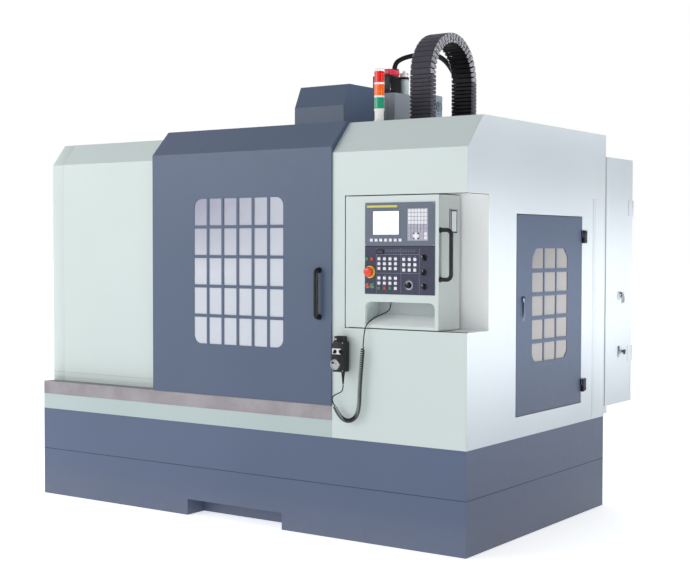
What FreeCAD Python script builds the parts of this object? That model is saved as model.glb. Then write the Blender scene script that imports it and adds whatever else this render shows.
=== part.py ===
"""CNC machining centre: a full-enclosure vertical machine with a sliding front door.

Millimetres, +Z up, -Y to the front, origin on the floor under the middle of the machine.
"""
import FreeCAD, Part
import math
import os

V = FreeCAD.Vector

# --- overall -----------------------------------------------------------------------------------
BASE_W = 2796.0          # plinth, left to right
BASE_D = 1532.0          # plinth, front to back
BASE_H = 494.0           # top of the plinth
SEAM_Z = 262.0           # joint between the plinth's two halves
FRONT = -925.0           # front plane of the plinth
RIGHT = BASE_W / 2
LEFT = -RIGHT
RIGHT_W = 752.0          # right front panel
DOOR_W = 1180.0
MID_X = RIGHT - RIGHT_W - DOOR_W / 2   # spindle, door and column centre
SHEET = 3.0              # enclosure panels
SKIRT = 5.0              # plinth walls
LEDGE = 110.0            # plinth's inward top flange
RUN = 0.3                # running clearance between sliding or turning faces
REVEAL = 4.0             # gap round a flush door

# --- plinth ------------------------------------------------------------------------------------
NOTCH_W = 631.0
NOTCH_H = 85.0
NOTCH_D = 134.0
NOTCH_X = MID_X - 37     # middle of the toe notch

# --- enclosure ---------------------------------------------------------------------------------
APRON_TOP = 578.0
RAIL_TOP = 650.0
RAIL_D = 72.0            # door rail, front to back
LEFT_X = LEFT + 90       # left end wall
LEFT_SETBACK = 75.0      # left panel behind the front plane
LEFT_TOP = 2014.0
LEFT_FOLD = LEFT_TOP - 119
LEFT_SLOPE = 95.0
RIGHT_TOP = LEFT_TOP + 27
RIGHT_FOLD = RIGHT_TOP - 156
RIGHT_SLOPE = 143.0
ROOF_LIP = 45.0          # how far a front panel's top runs onto the roof
FLANGE = 35.0

# --- main door ---------------------------------------------------------------------------------
DOOR_X0 = MID_X - DOOR_W / 2
DOOR_X1 = MID_X + DOOR_W / 2
DOOR_PROUD = 9.0         # door skin in front of the plinth
DOOR_TOP = LEFT_TOP + 33
DOOR_FOLD = DOOR_TOP - 133
DOOR_SLOPE = 127.0
DOOR_LIP = 40.0
DOOR_LIFT = 2.0          # gap over the rail
PANE_W, PANE_H = 89.0, 140.0
BAR_W, BAR_H = 11.0, 14.0
PANE_COLS, PANE_ROWS = 6, 5
PANE_Z = 920.0           # bottom of the lowest row
PANE_CORNER = 44.0
GLASS = 6.0
HANDLE_X = DOOR_X1 - 86
HANDLE_Z0, HANDLE_Z1 = 1072.0, 1324.0
HANDLE_BAR = 22.0
HANDLE_REACH = 52.0

# --- side door ---------------------------------------------------------------------------------
SIDE_Y0, SIDE_Y1 = 486.0, 1233.0      # from the front plane
SIDE_Z0, SIDE_Z1 = 602.0, 1586.0
SIDE_PANE_Y0, SIDE_PANE_Z0 = 653.0, 846.0
SIDE_PANE_W, SIDE_PANE_H = 124.0, 103.0
SIDE_BAR = 15.0
SIDE_COLS, SIDE_ROWS = 3, 5
SIDE_CLIP = 42.0
HINGE_W, HINGE_H = 66.0, 68.0
HINGE_Z = (692.0, 1483.0)
HINGE_PIN = 6.0
LATCH_Y, LATCH_Z = 552.0, 1133.0
LATCH_W, LATCH_H = 34.0, 108.0

# --- operator station --------------------------------------------------------------------------
RECESS_W = 678.0
RECESS_D = 205.0
RECESS_Z0, RECESS_Z1 = 1035.0, 1675.0
BOX_W = 521.0
BOX_D = 196.0
BOX_GAP = 5.0            # box to recess, left, below and above
BOX_X0 = RIGHT - RECESS_W + BOX_GAP
BOX_X1 = BOX_X0 + BOX_W
UNIT_W = 388.0           # display unit and key panel
UNIT_X0 = BOX_X0 + 114   # their left edge
DISPLAY_Z0, DISPLAY_Z1 = 1431.0, 1637.0
PANEL_Z0, PANEL_Z1 = 1203.0, 1430.0
UNIT_PROUD = 3.0
TRAY_Z0, TRAY_Z1 = 1056.0, 1166.0
TRAY_CORNER = 30.0
TRAY_D = 120.0
BOX_WALL = 12.0          # box shell round the tray
GRIP_Z0, GRIP_Z1 = 1271.0, 1509.0
GRIP_REACH = 78.0
GRIP_D = 16.0
PORT_Z0, PORT_Z1 = 1490.0, 1605.0
PORT_Y0, PORT_Y1 = 95.0, 160.0

# --- machine inside ----------------------------------------------------------------------------
SPINDLE_Y = 820.0        # spindle axis behind the front plane
COLUMN_Y0 = SPINDLE_Y + 510
COLUMN_Y1 = COLUMN_Y0 + 500
COLUMN_TOP = 2160.0
COLUMN_WAIST = 1500.0    # where its foot starts to spread
COLUMN_RIB = 26.0
COLUMN_HALF = 250.0
COLUMN_FOOT = 340.0      # half width of the bed and of the column's foot
BED_GAP = 12.0           # plinth to bed, at the back
COLUMN_WALL = 42.0
BED_TOP = 560.0
BED_HALF = COLUMN_FOOT
BED_Y0 = 150.0
BED_WALL = 40.0
BED_ROWS = 3             # rows of hollow cells under it
FOOT_R = 55.0
FOOT_H = 60.0
WAY_H = 30.0             # guideway height
WAY_W = 46.0
WAY_X = 200.0            # guideways either side of the middle
SADDLE_TOP = 745.0
SADDLE_HALF = 330.0
TABLE_L, TABLE_D = 1000.0, 450.0
TABLE_TOP = 920.0
TABLE_T = 95.0
TSLOT_W = 18.0
TSLOT_PITCH = 100.0
TRAVEL_X, TRAVEL_Y, TRAVEL_Z = 800.0, 450.0, 500.0
NOSE_Z = 1540.0          # spindle face with the head up
NOSE_R = 95.0
HEAD_HALF = 150.0
HEAD_Z0, HEAD_Z1 = 1640.0, 1900.0
HEAD_Y0 = 715.0
SLIDE_HALF = 180.0
SLIDE_T = 108.0
SLIDE_Z0, SLIDE_Z1 = 1520.0, 2100.0
SPINDLE_R = 44.0
BORE_R = SPINDLE_R + 0.6
TAPER_BIG, TAPER_SMALL, TAPER_L = 22.2, 12.5, 66.0
COVER_W = 335.0
COVER_Y0, COVER_Y1 = 700.0, 1092.0
COVER_FOLD, COVER_TOP = 2205.0, 2326.0
COVER_SLOPE = 57.0
MOTOR_HALF = 105.0
MOTOR_TOP = 2180.0
THROAT_Y1 = COLUMN_Y0 - WAY_H - RUN   # back of the head's slide

# --- tool magazine -----------------------------------------------------------------------------
DRUM_X = MID_X - 436
DRUM_R = 245.0
DRUM_T = 26.0
DRUM_Z = 1497.0
POCKETS = 10
POCKET_R = 27.0
TOOL_CIRCLE = 210.0
HUB_R = 88.0
HUB_TOP = 1620.0
ARM_X0, ARM_X1 = DRUM_X - 70, DRUM_X + 16
ARM_Z0, ARM_Z1 = 1621.0, 1690.0
BEAM_X0 = DRUM_X - 390
BEAM_Z1 = 1790.0
BEAM_T = 80.0

# --- column top --------------------------------------------------------------------------------
BRACKET_HALF = 100.0
BRACKET_Y0, BRACKET_Y1 = COLUMN_Y0 - 8, COLUMN_Y0 + 164
BRACKET_TOP = COLUMN_TOP + 178
SERVO = 130.0
SERVO_TOP = BRACKET_TOP + 108
CAP_TOP = SERVO_TOP + 39
CAP = 116.0
BOOSTER_X, BOOSTER_Y = MID_X + 69, BRACKET_Y1 - 14
BOOSTER_R = 28.0
BOOSTER_TOP = BRACKET_TOP + 130
JUNCTION_X1 = MID_X + 244               # junction box on the column's top
JUNCTION_Y = COLUMN_Y0 + 253
JUNCTION_H = 174.0
JUNCTION_W = 110.0
LID_R, LID_Z = 31.0, COLUMN_TOP + 108   # its round lid

# --- cable carrier -----------------------------------------------------------------------------
CHAIN_X0 = MID_X + 282
CHAIN_X1 = CHAIN_X0 + 141
CHAIN_Y = COLUMN_Y0 - 130   # front face of the front leg
CHAIN_T = 59.0
CHAIN_R = 236.5          # bend radius on the middle line
CHAIN_PITCH = 33.0
CHAIN_TOP = 2411.0       # bend centre with the head up
CHAIN_FIXED = 1900.0
CHAIN_MOVING = 2050.0
LINK_GAP = 3.0
PLATE = 8.0              # side plate of a link

# --- rear cabinet ------------------------------------------------------------------------------
CAB_X0 = RIGHT - 700
CAB_Y0 = BASE_D + 20
CAB_Y1 = CAB_Y0 + 348
CAB_Z0, CAB_Z1 = 546.0, 1925.0
SWITCH_Y, SWITCH_Z = CAB_Y0 + 182, 1156.0
LOCK_Z = 838.0

# --- signal tower ------------------------------------------------------------------------------
TOWER_X, TOWER_Y = RIGHT - 606, RIGHT_SLOPE + 47
TOWER_R = 25.5
LAMP_H = 54.0
RING_H = 10.0
TOWER_BASE = 64.0

# --- hand pendant and its cord -----------------------------------------------------------------
PENDANT_X0 = BOX_X0 - 38
PENDANT_X1 = PENDANT_X0 + 70
PENDANT_Z0, PENDANT_Z1 = 825.0, 972.0
PENDANT_Y0, PENDANT_Y1 = -62.0, -16.0
WHEEL_X, WHEEL_Z, WHEEL_R = PENDANT_X0 + 26, PENDANT_Z0 + 36, 26.0
CORD_D = 5.5
CURL_D = 18.0
CURLS = 30
STEPS = 12               # straight runs to a turn of the curl
CORD_SIDES = 5
HOSE_SIDES = 8


def box(x0, x1, y0, y1, z0, z1):
    """Box between limits; y is measured back from the front plane."""
    return Part.makeBox(x1 - x0, y1 - y0, z1 - z0, V(x0, FRONT + y0, z0))


def post(x, y, z0, z1, r):
    """Upright round bar; y is measured back from the front plane."""
    return Part.makeCylinder(r, z1 - z0, V(x, FRONT + y, z0))


def rod(x, y, z, r, length, direction):
    return Part.makeCylinder(r, length, V(x, FRONT + y, z), direction)


def polygon(u, v, r, sides, turn=0.0):
    """Corner points of a regular polygon about (u, v), of the same area as a circle of radius r."""
    step = 2 * math.pi / sides
    reach = r * math.sqrt(step / math.sin(step))
    angles = [step * (i + turn) for i in range(sides)]
    return [(u + reach * math.cos(a), v + reach * math.sin(a)) for a in angles]


def prism_x(points, x0, x1):
    """(y, z) outline drawn along X."""
    ring = [V(x0, FRONT + y, z) for y, z in points]
    return Part.Face(Part.makePolygon(ring + ring[:1])).extrude(V(x1 - x0, 0, 0))


def prism_y(points, y0, y1):
    """(x, z) outline drawn along Y."""
    ring = [V(x, FRONT + y0, z) for x, z in points]
    return Part.Face(Part.makePolygon(ring + ring[:1])).extrude(V(0, y1 - y0, 0))


def prism_z(points, z0, z1):
    """(x, y) outline drawn up Z."""
    ring = [V(x, FRONT + y, z0) for x, y in points]
    return Part.Face(Part.makePolygon(ring + ring[:1])).extrude(V(0, 0, z1 - z0))


def inset(points, t):
    """Open line of (u, v) points moved t to the right of its own direction, with mitred bends."""
    def normal(a, b):
        du, dv = b[0] - a[0], b[1] - a[1]
        n = math.hypot(du, dv)
        return dv / n, -du / n
    normals = [normal(a, b) for a, b in zip(points, points[1:])]
    moved = []
    for i, (u, v) in enumerate(points):
        a = normals[max(i - 1, 0)]
        b = normals[min(i, len(normals) - 1)]
        k = t / (1 + a[0] * b[0] + a[1] * b[1])
        moved.append((u + (a[0] + b[0]) * k, v + (a[1] + b[1]) * k))
    return moved


def folded(points, t, x0, x1):
    """Bent sheet: an open (y, z) line with its thickness on the right of its direction."""
    return prism_x(points + inset(points, t)[::-1], x0, x1)


def join(shapes):
    whole = shapes[0]
    for s in shapes[1:]:
        whole = whole.fuse(s)
    return whole.removeSplitter()


def group(shapes):
    return Part.makeCompound(shapes)


def cut(shape, tools):
    for t in tools:
        shape = shape.cut(t)
    return shape


def save(node, shape):
    shape.exportStep(f"parts/{node}.step")


def edges_along(shape, axis):
    """Straight edges of the shape that run along one axis."""
    chosen = []
    for e in shape.Edges:
        if len(e.Vertexes) != 2:
            continue
        d = e.Vertexes[1].Point - e.Vertexes[0].Point
        if d.Length > 1e-6 and abs(abs(d.dot(axis)) - d.Length) < 1e-6:
            chosen.append(e)
    return chosen


X, Y, Z = V(1, 0, 0), V(0, 1, 0), V(0, 0, 1)


# ---------------------------------------------------------------- plinth
def base_ring(z0, z1):
    """Plinth walls, open at the back where the bed comes out."""
    outer = box(LEFT, RIGHT, 0, BASE_D, z0, z1)
    outer = outer.cut(box(LEFT + SKIRT, RIGHT - SKIRT, SKIRT, BASE_D - SKIRT, z0, z1))
    return outer.cut(bed_gap(z0, z1))


def bed_gap(z0, z1):
    half = COLUMN_FOOT + BED_GAP
    return box(MID_X - half, MID_X + half, BASE_D - LEDGE, BASE_D, z0, z1)


def base_lower():
    ring = base_ring(0, SEAM_Z)
    x0, x1 = NOTCH_X - NOTCH_W / 2, NOTCH_X + NOTCH_W / 2
    ring = ring.cut(box(x0, x1, 0, SKIRT, 0, NOTCH_H))
    pocket = box(x0 - SKIRT, x1 + SKIRT, 0, NOTCH_D + SKIRT, 0, NOTCH_H + SKIRT)
    pocket = pocket.cut(box(x0, x1, 0, NOTCH_D, 0, NOTCH_H))
    return join([ring, pocket])


def base_upper():
    ring = base_ring(SEAM_Z, BASE_H)
    deck = box(LEFT, RIGHT, 0, BASE_D, BASE_H - SKIRT, BASE_H)
    deck = deck.cut(box(LEFT + LEDGE, RIGHT - LEDGE, LEDGE, BASE_D - LEDGE, BASE_H - SKIRT, BASE_H))
    return join([ring, deck.cut(bed_gap(BASE_H - SKIRT, BASE_H))])


# ---------------------------------------------------------------- enclosure
def front_apron():
    line = [(RAIL_D, BASE_H), (0, BASE_H), (0, APRON_TOP), (RAIL_D, APRON_TOP)]
    return folded(line, SHEET, LEFT, DOOR_X1)


def door_rail():
    line = [(RAIL_D, APRON_TOP), (0, APRON_TOP), (0, RAIL_TOP), (RAIL_D, RAIL_TOP)]
    return folded(line, SHEET, LEFT, DOOR_X1)


def left_line(z0):
    """Outside of the left panel's bend, from z0 up over the slope onto the roof."""
    y = LEFT_SETBACK
    return [(y, z0), (y, LEFT_FOLD), (y + LEFT_SLOPE, LEFT_TOP), (y + LEFT_SLOPE + ROOF_LIP, LEFT_TOP)]


def right_line():
    return [(0, BASE_H), (0, RIGHT_FOLD), (RIGHT_SLOPE, RIGHT_TOP), (RIGHT_SLOPE + ROOF_LIP, RIGHT_TOP)]


def end_outline(line):
    """End wall inside a front panel's bend, back to the rear panel."""
    inner = inset(line, SHEET)
    y1, z0 = BASE_D - RUN, line[0][1]
    return inner + [(y1, inner[-1][1]), (y1, z0)]


def left_panel():
    y = LEFT_SETBACK
    skin = folded(left_line(RAIL_TOP), SHEET, LEFT_X, DOOR_X0 + FLANGE)
    edge = box(DOOR_X0 + FLANGE - SHEET, DOOR_X0 + FLANGE, y, y + FLANGE, RAIL_TOP, LEFT_FOLD)
    return join([skin, edge])


def left_end_panel():
    return prism_x(end_outline(left_line(BASE_H)), LEFT_X, LEFT_X + SHEET)


def rear_panel():
    gap = 16.0
    y0, y1 = BASE_D, BASE_D + SHEET * 2
    left = box(LEFT_X, MID_X - COLUMN_FOOT - gap, y0, y1, BASE_H, LEFT_TOP)
    right = box(MID_X + COLUMN_FOOT + gap, RIGHT, y0, y1, BASE_H, RIGHT_TOP)
    return group([left, right])


def right_front_panel():
    line = right_line()
    skin = folded(line, SHEET, DOOR_X1 + RUN, RIGHT)
    jamb_line = inset(line, SHEET) + inset(line, RAIL_D)[::-1]
    jamb = prism_x(jamb_line, DOOR_X1 + RUN, DOOR_X1 + RUN + SHEET)
    window = box(RIGHT - RECESS_W, RIGHT, 0, SHEET, RECESS_Z0, RECESS_Z1)
    return join([skin.cut(window), jamb])


def panel_recess():
    """Corner pocket for the operator box, with the pivots that the box turns on."""
    x0, z0, z1 = RIGHT - RECESS_W, RECESS_Z0, RECESS_Z1
    outer = box(x0 - SHEET, RIGHT, SHEET, RECESS_D + SHEET, z0 - SHEET, z1 + SHEET)
    shell = outer.cut(box(x0, RIGHT, SHEET, RECESS_D, z0, z1))
    x, y = PIVOT_X, PIVOT_Y
    pivots = [post(x, y, z0, BOX_Z0 + SHEET, PIVOT_R), post(x, y, z0, BOX_Z0 - RUN, COLLAR_R)]
    pivots += [post(x, y, BOX_Z1 - SHEET, z1, PIVOT_R), post(x, y, BOX_Z1 + RUN, z1, COLLAR_R)]
    return join([shell] + pivots)


def right_end_panel():
    panel = prism_x(end_outline(right_line()), RIGHT - SHEET, RIGHT)
    y0, y1, g = SIDE_Y0 - REVEAL, SIDE_Y1 + REVEAL, REVEAL
    doorway = box(RIGHT - SHEET, RIGHT, y0, y1, SIDE_Z0 - g, SIDE_Z1 + g)
    corner = box(RIGHT - SHEET, RIGHT, 0, RECESS_D + SHEET, RECESS_Z0 - SHEET, RECESS_Z1 + SHEET)
    return cut(panel, [doorway, corner])


def roof_panel():
    """Two levels of sheet with a slot at the back for the head, the carrier and the column."""
    y_left = LEFT_SETBACK + LEFT_SLOPE + ROOF_LIP
    y_door = DOOR_SLOPE + DOOR_LIP - DOOR_PROUD + REVEAL
    y_right = RIGHT_SLOPE + ROOF_LIP
    step = DOOR_X1
    low = box(LEFT_X, step, y_left, BASE_D - RUN, LEFT_TOP - SHEET, LEFT_TOP)
    over_door = box(DOOR_X0 + FLANGE, step, y_door, y_left, LEFT_TOP - SHEET, LEFT_TOP)
    high = box(step - SHEET, RIGHT, y_right, BASE_D - RUN, RIGHT_TOP - SHEET, RIGHT_TOP)
    riser = box(step - SHEET, step, y_right, BASE_D - RUN, LEFT_TOP - SHEET, RIGHT_TOP)
    header = box(DOOR_X0 + FLANGE, step, y_door, y_door + SHEET, LEFT_TOP - FLANGE, LEFT_TOP)
    slot = box(SLOT_X0, SLOT_X1, COVER_Y0 - 12, BASE_D, LEFT_TOP - SHEET, LEFT_TOP)
    return join([low, over_door, high, riser, header]).cut(slot)


def chip_pan():
    """Sloped sheets that lead chips from both end walls and the front to the bed."""
    drop = BED_TOP - BASE_H
    inner = BASE_D - 40
    left = prism_y([(LEFT_X + SHEET, BASE_H + drop), (LEFT_X + SHEET, BASE_H + drop + SHEET),
                    (MID_X - BED_HALF, BASE_H + SHEET), (MID_X - BED_HALF, BASE_H)], LEDGE, inner)
    right = prism_y([(RIGHT - SHEET, BASE_H + drop), (RIGHT - SHEET, BASE_H + drop + SHEET),
                     (MID_X + BED_HALF, BASE_H + SHEET), (MID_X + BED_HALF, BASE_H)], LEDGE, inner)
    return group([left, right])


# ---------------------------------------------------------------- main door
SLOT_X0 = MID_X - COLUMN_HALF - 16
SLOT_X1 = CHAIN_X1 + 20


def door_panes(margin=0.0):
    """Window outline, grown by a margin: (x0, x1, z0, z1)."""
    half = (PANE_COLS * PANE_W + (PANE_COLS - 1) * BAR_W) / 2
    high = PANE_ROWS * PANE_H + (PANE_ROWS - 1) * BAR_H
    return MID_X - half - margin, MID_X + half + margin, PANE_Z - margin, PANE_Z + high + margin


def main_door():
    y = -DOOR_PROUD
    z0 = RAIL_TOP + DOOR_LIFT
    line = [
        (y + FLANGE, z0), (y, z0), (y, DOOR_FOLD), (y + DOOR_SLOPE, DOOR_TOP),
        (y + DOOR_SLOPE + DOOR_LIP, DOOR_TOP),
    ]
    skin = folded(line, SHEET, DOOR_X0, DOOR_X1)
    x0, x1, wz0, wz1 = door_panes()
    panes = box(x0, x1, y, y + SHEET, wz0, wz1)
    panes = panes.makeFillet(PANE_CORNER, edges_along(panes, Y))
    bars = []
    for i in range(1, PANE_COLS):
        a = x0 + i * PANE_W + (i - 1) * BAR_W
        bars.append(box(a, a + BAR_W, y, y + SHEET, wz0, wz1))
    for j in range(1, PANE_ROWS):
        a = wz0 + j * PANE_H + (j - 1) * BAR_H
        bars.append(box(x0, x1, y, y + SHEET, a, a + BAR_H))
    skin = skin.cut(cut(panes, bars))
    side = inset(line[1:], FLANGE)
    edge_line = line[1:] + side[::-1]
    edges = [prism_x(edge_line, x, x + SHEET) for x in (DOOR_X0, DOOR_X1 - SHEET)]
    shoe = (DOOR_X0 + 90, DOOR_X1 - 150)
    shoes = [box(x, x + 60, y + 12, y + FLANGE, RAIL_TOP + RUN, z0 + SHEET) for x in shoe]
    return join([skin] + edges + shoes)


def door_window():
    x0, x1, z0, z1 = door_panes(18.0)
    y = -DOOR_PROUD + SHEET
    return box(x0, x1, y, y + GLASS, z0, z1)


def door_handle():
    """Bow handle: a flat-sided bar with splayed feet."""
    y0, y1 = -DOOR_PROUD - HANDLE_REACH, -DOOR_PROUD
    t, splay = HANDLE_BAR * 0.8, 14.0
    outer = [
        (y1, HANDLE_Z0), (y0 + splay, HANDLE_Z0), (y0, HANDLE_Z0 + splay), (y0, HANDLE_Z1 - splay),
        (y0 + splay, HANDLE_Z1), (y1, HANDLE_Z1),
    ]
    inner = [(y1, HANDLE_Z1 - t), (y0 + splay + t / 2, HANDLE_Z1 - t), (y0 + t, HANDLE_Z1 - splay - t / 2),
             (y0 + t, HANDLE_Z0 + splay + t / 2), (y0 + splay + t / 2, HANDLE_Z0 + t), (y1, HANDLE_Z0 + t)]
    bow = prism_x(outer + inner, HANDLE_X - HANDLE_BAR / 2, HANDLE_X + HANDLE_BAR / 2)
    front = [e for e in edges_along(bow, Z) if e.Vertexes[0].Point.y < FRONT + y0 + 1]
    return bow.makeChamfer(4, front)


# ---------------------------------------------------------------- side door
def side_window_box(x0, x1, margin=0.0):
    w = SIDE_COLS * SIDE_PANE_W + (SIDE_COLS - 1) * SIDE_BAR
    h = SIDE_ROWS * SIDE_PANE_H + (SIDE_ROWS - 1) * SIDE_BAR
    y0, z0 = SIDE_PANE_Y0 - margin, SIDE_PANE_Z0 - margin
    return box(x0, x1, y0, y0 + w + 2 * margin, z0, z0 + h + 2 * margin)


def side_door():
    x = RIGHT + 1
    skin = box(x - SHEET, x, SIDE_Y0, SIDE_Y1, SIDE_Z0, SIDE_Z1)
    panes = side_window_box(x - SHEET, x)
    panes = panes.makeChamfer(SIDE_CLIP, edges_along(panes, X))
    bars = []
    for i in range(1, SIDE_COLS):
        a = SIDE_PANE_Y0 + i * SIDE_PANE_W + (i - 1) * SIDE_BAR
        bars.append(box(x - SHEET, x, a, a + SIDE_BAR, SIDE_Z0, SIDE_Z1))
    for j in range(1, SIDE_ROWS):
        a = SIDE_PANE_Z0 + j * SIDE_PANE_H + (j - 1) * SIDE_BAR
        bars.append(box(x - SHEET, x, SIDE_Y0, SIDE_Y1, a, a + SIDE_BAR))
    skin = skin.cut(cut(panes, bars))
    rim = box(x - FLANGE, x, SIDE_Y0, SIDE_Y1, SIDE_Z0, SIDE_Z1)
    rim = rim.cut(box(x - FLANGE, x, SIDE_Y0 + SHEET, SIDE_Y1 - SHEET, SIDE_Z0 + SHEET, SIDE_Z1 - SHEET))
    return join([skin, rim])


def side_window():
    x = RIGHT + 1 - SHEET
    return side_window_box(x - GLASS, x, 14.0)


HINGE_X = RIGHT + 1 + 9
HINGE_Y = SIDE_Y1 + REVEAL / 2
KNUCKLE_R = 8.7
KNUCKLE_SIDES = 10


def knuckle(x, y, z0, z1, r):
    """Flat-sided outside of a hinge barrel."""
    return prism_z(polygon(x, y, r, KNUCKLE_SIDES, 0.5), z0, z1)


def side_hinges():
    """Frame halves of two lift-off hinges: leaf, lower knuckle and pin."""
    solids = []
    for z in HINGE_Z:
        z0, z1 = z - HINGE_H / 2, z + HINGE_H / 2
        leaf = box(RIGHT, RIGHT + 5, HINGE_Y + 10, HINGE_Y + HINGE_W - 10, z0, z1)
        web = box(RIGHT + 0.3, RIGHT + 5, HINGE_Y, HINGE_Y + 10, z0, z - RUN)
        pin = post(HINGE_X, HINGE_Y, z - 1, z1 - 3, HINGE_PIN)
        solids.append(join([leaf, web, knuckle(HINGE_X, HINGE_Y, z0, z - RUN, KNUCKLE_R), pin]))
    return group(solids)


def door_knuckles():
    """Leaves and upper knuckles welded to the side door's edge."""
    solids = []
    for z in HINGE_Z:
        z1 = z + HINGE_H / 2
        leaf = box(RIGHT + 1 - SHEET, HINGE_X, SIDE_Y1 - 12, SIDE_Y1, z, z1)
        half = knuckle(HINGE_X, HINGE_Y, z, z1, KNUCKLE_R).fuse(leaf)
        solids.append(half.cut(post(HINGE_X, HINGE_Y, z, z1 - 2, HINGE_PIN + RUN)))
    return solids


def side_latch():
    x = RIGHT + 1 + RUN
    top = LATCH_Z + LATCH_H / 2
    boss = rod(x, LATCH_Y, top - LATCH_W / 2, LATCH_W / 2, 14, X)
    lever = box(x + 4, x + 14, LATCH_Y - 9, LATCH_Y + 9, top - LATCH_H, top - LATCH_W / 2)
    lever = lever.makeChamfer(3, [e for e in edges_along(lever, Z) if e.Vertexes[0].Point.x > x + 10])
    return join([boss, lever])


# ---------------------------------------------------------------- operator station
BOX_Z0, BOX_Z1 = RECESS_Z0 + BOX_GAP, RECESS_Z1 - BOX_GAP
UNIT_X1 = UNIT_X0 + UNIT_W
LAND = 5.0               # how far a unit's flange laps over its cut-out
PIVOT_X, PIVOT_Y = BOX_X0 + 9, 9.0
PIVOT_R, COLLAR_R = 4.5, 8.0


def tray_outline(y0, y1, grow=0.0):
    solid = box(UNIT_X0 - grow, UNIT_X1 + grow, y0, y1, TRAY_Z0 - grow, TRAY_Z1 + grow)
    top = [e for e in edges_along(solid, Y) if e.Vertexes[0].Point.z > TRAY_Z1 - 1]
    return solid.makeFillet(TRAY_CORNER + grow, top)


def pivot_bores():
    return [post(PIVOT_X, PIVOT_Y, z, z + SHEET, PIVOT_R + RUN) for z in (BOX_Z0, BOX_Z1 - SHEET)]


def operator_box():
    """Folded cabinet, open at the back, with a cut-out for each unit and a tray below them."""
    shell = box(BOX_X0, BOX_X1, 0, BOX_D, BOX_Z0, BOX_Z1)
    inside = box(BOX_X0 + SHEET, BOX_X1 - SHEET, SHEET, BOX_D, BOX_Z0 + SHEET, BOX_Z1 - SHEET)
    cutout = box(UNIT_X0 + LAND, UNIT_X1 - LAND, 0, SHEET, PANEL_Z0 + LAND, DISPLAY_Z1 - LAND)
    shell = cut(shell, [inside, cutout, tray_outline(0, SHEET)])
    tray = tray_outline(0, TRAY_D + SHEET, SHEET).cut(tray_outline(0, TRAY_D))
    tray = tray.cut(box(BOX_X0, BOX_X1, -1, 0, BOX_Z0, BOX_Z1))
    port = box(BOX_X1, BOX_X1 + 8, PORT_Y0, PORT_Y1, PORT_Z0, PORT_Z1)
    port = port.makeChamfer(4, edges_along(port, X))
    port = port.cut(box(BOX_X1 + 5, BOX_X1 + 8, PORT_Y0 + 10, PORT_Y1 - 10, PORT_Z0 + 10, PORT_Z1 - 10))
    gland = prism_z(polygon(TAIL_ROUTE[-1][0], TAIL_ROUTE[-1][1], 9, 6), TRAY_Z1 - 8, TRAY_Z1)
    return cut(join([shell, tray, port, gland]), pivot_bores())


def box_handle():
    y, d = 14.0, GRIP_D
    x = BOX_X1 + GRIP_REACH - d / 2
    z0, z1 = GRIP_Z0 + d / 2, GRIP_Z1 - d / 2
    bend = 2.0 * d
    p = V(BOX_X1, FRONT + y, z0)
    q = V(x, FRONT + y, z0)
    mid = bend * (1 - math.sqrt(0.5))
    arcs = [
        Part.LineSegment(p, q - V(bend, 0, 0)),
        Part.Arc(q - V(bend, 0, 0), q + V(-mid, 0, mid), q + V(0, 0, bend)),
        Part.LineSegment(q + V(0, 0, bend), V(x, FRONT + y, z1 - bend)),
        Part.Arc(V(x, FRONT + y, z1 - bend), V(x - mid, FRONT + y, z1 - mid), V(x - bend, FRONT + y, z1)),
        Part.LineSegment(V(x - bend, FRONT + y, z1), V(BOX_X1, FRONT + y, z1)),
    ]
    wire = Part.Wire([a.toShape() for a in arcs])
    return tube(wire, d, HOSE_SIDES)


SCREEN = (UNIT_X0 + 44, UNIT_X0 + 193, DISPLAY_Z0 + 53, DISPLAY_Z0 + 167)
STRIP = (UNIT_X0 + 11, UNIT_X0 + 183, DISPLAY_Z0 + 180, DISPLAY_Z0 + 195)
METER = (UNIT_X0 + 68, UNIT_X0 + 106, PANEL_Z0 + 191, PANEL_Z0 + 211)


def display_unit():
    flange = box(UNIT_X0, UNIT_X1, -UNIT_PROUD, 0, DISPLAY_Z0, DISPLAY_Z1)
    body = box(
        UNIT_X0 + LAND + RUN, UNIT_X1 - LAND - RUN, 0, 95, DISPLAY_Z0 + RUN, DISPLAY_Z1 - LAND - RUN,
    )
    x0, x1, z0, z1 = SCREEN
    glass = box(x0, x1, -UNIT_PROUD, -UNIT_PROUD + 1.5, z0, z1)
    x0, x1, z0, z1 = STRIP
    strip = box(x0, x1, -UNIT_PROUD - 1, -UNIT_PROUD, z0, z1)
    return join([flange, body, strip]).cut(glass)


ESTOP = (UNIT_X0 + 29, PANEL_Z0 + 105)
START = (UNIT_X0 + 43, PANEL_Z0 + 39)
STOP = (UNIT_X0 + 17, PANEL_Z0 + 39)
OVERRIDE = (UNIT_X0 + 250, PANEL_Z0 + 45)
KNOBS = {
    "mode_knob": (UNIT_X0 + 333, PANEL_Z0 + 175),
    "rapid_knob": (UNIT_X0 + 330, PANEL_Z0 + 107),
    "speed_knob": (UNIT_X0 + 333, PANEL_Z0 + 40),
}
ESTOP_STEM, BUTTON_R, WHEEL_SHAFT = 11.0, 9.5, 5.0
KNOB_STEM = 3.0
STEM_L = 8.0             # how far a knob's stem runs into its panel
ROUND = 20               # sides of a small round cap


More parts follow.
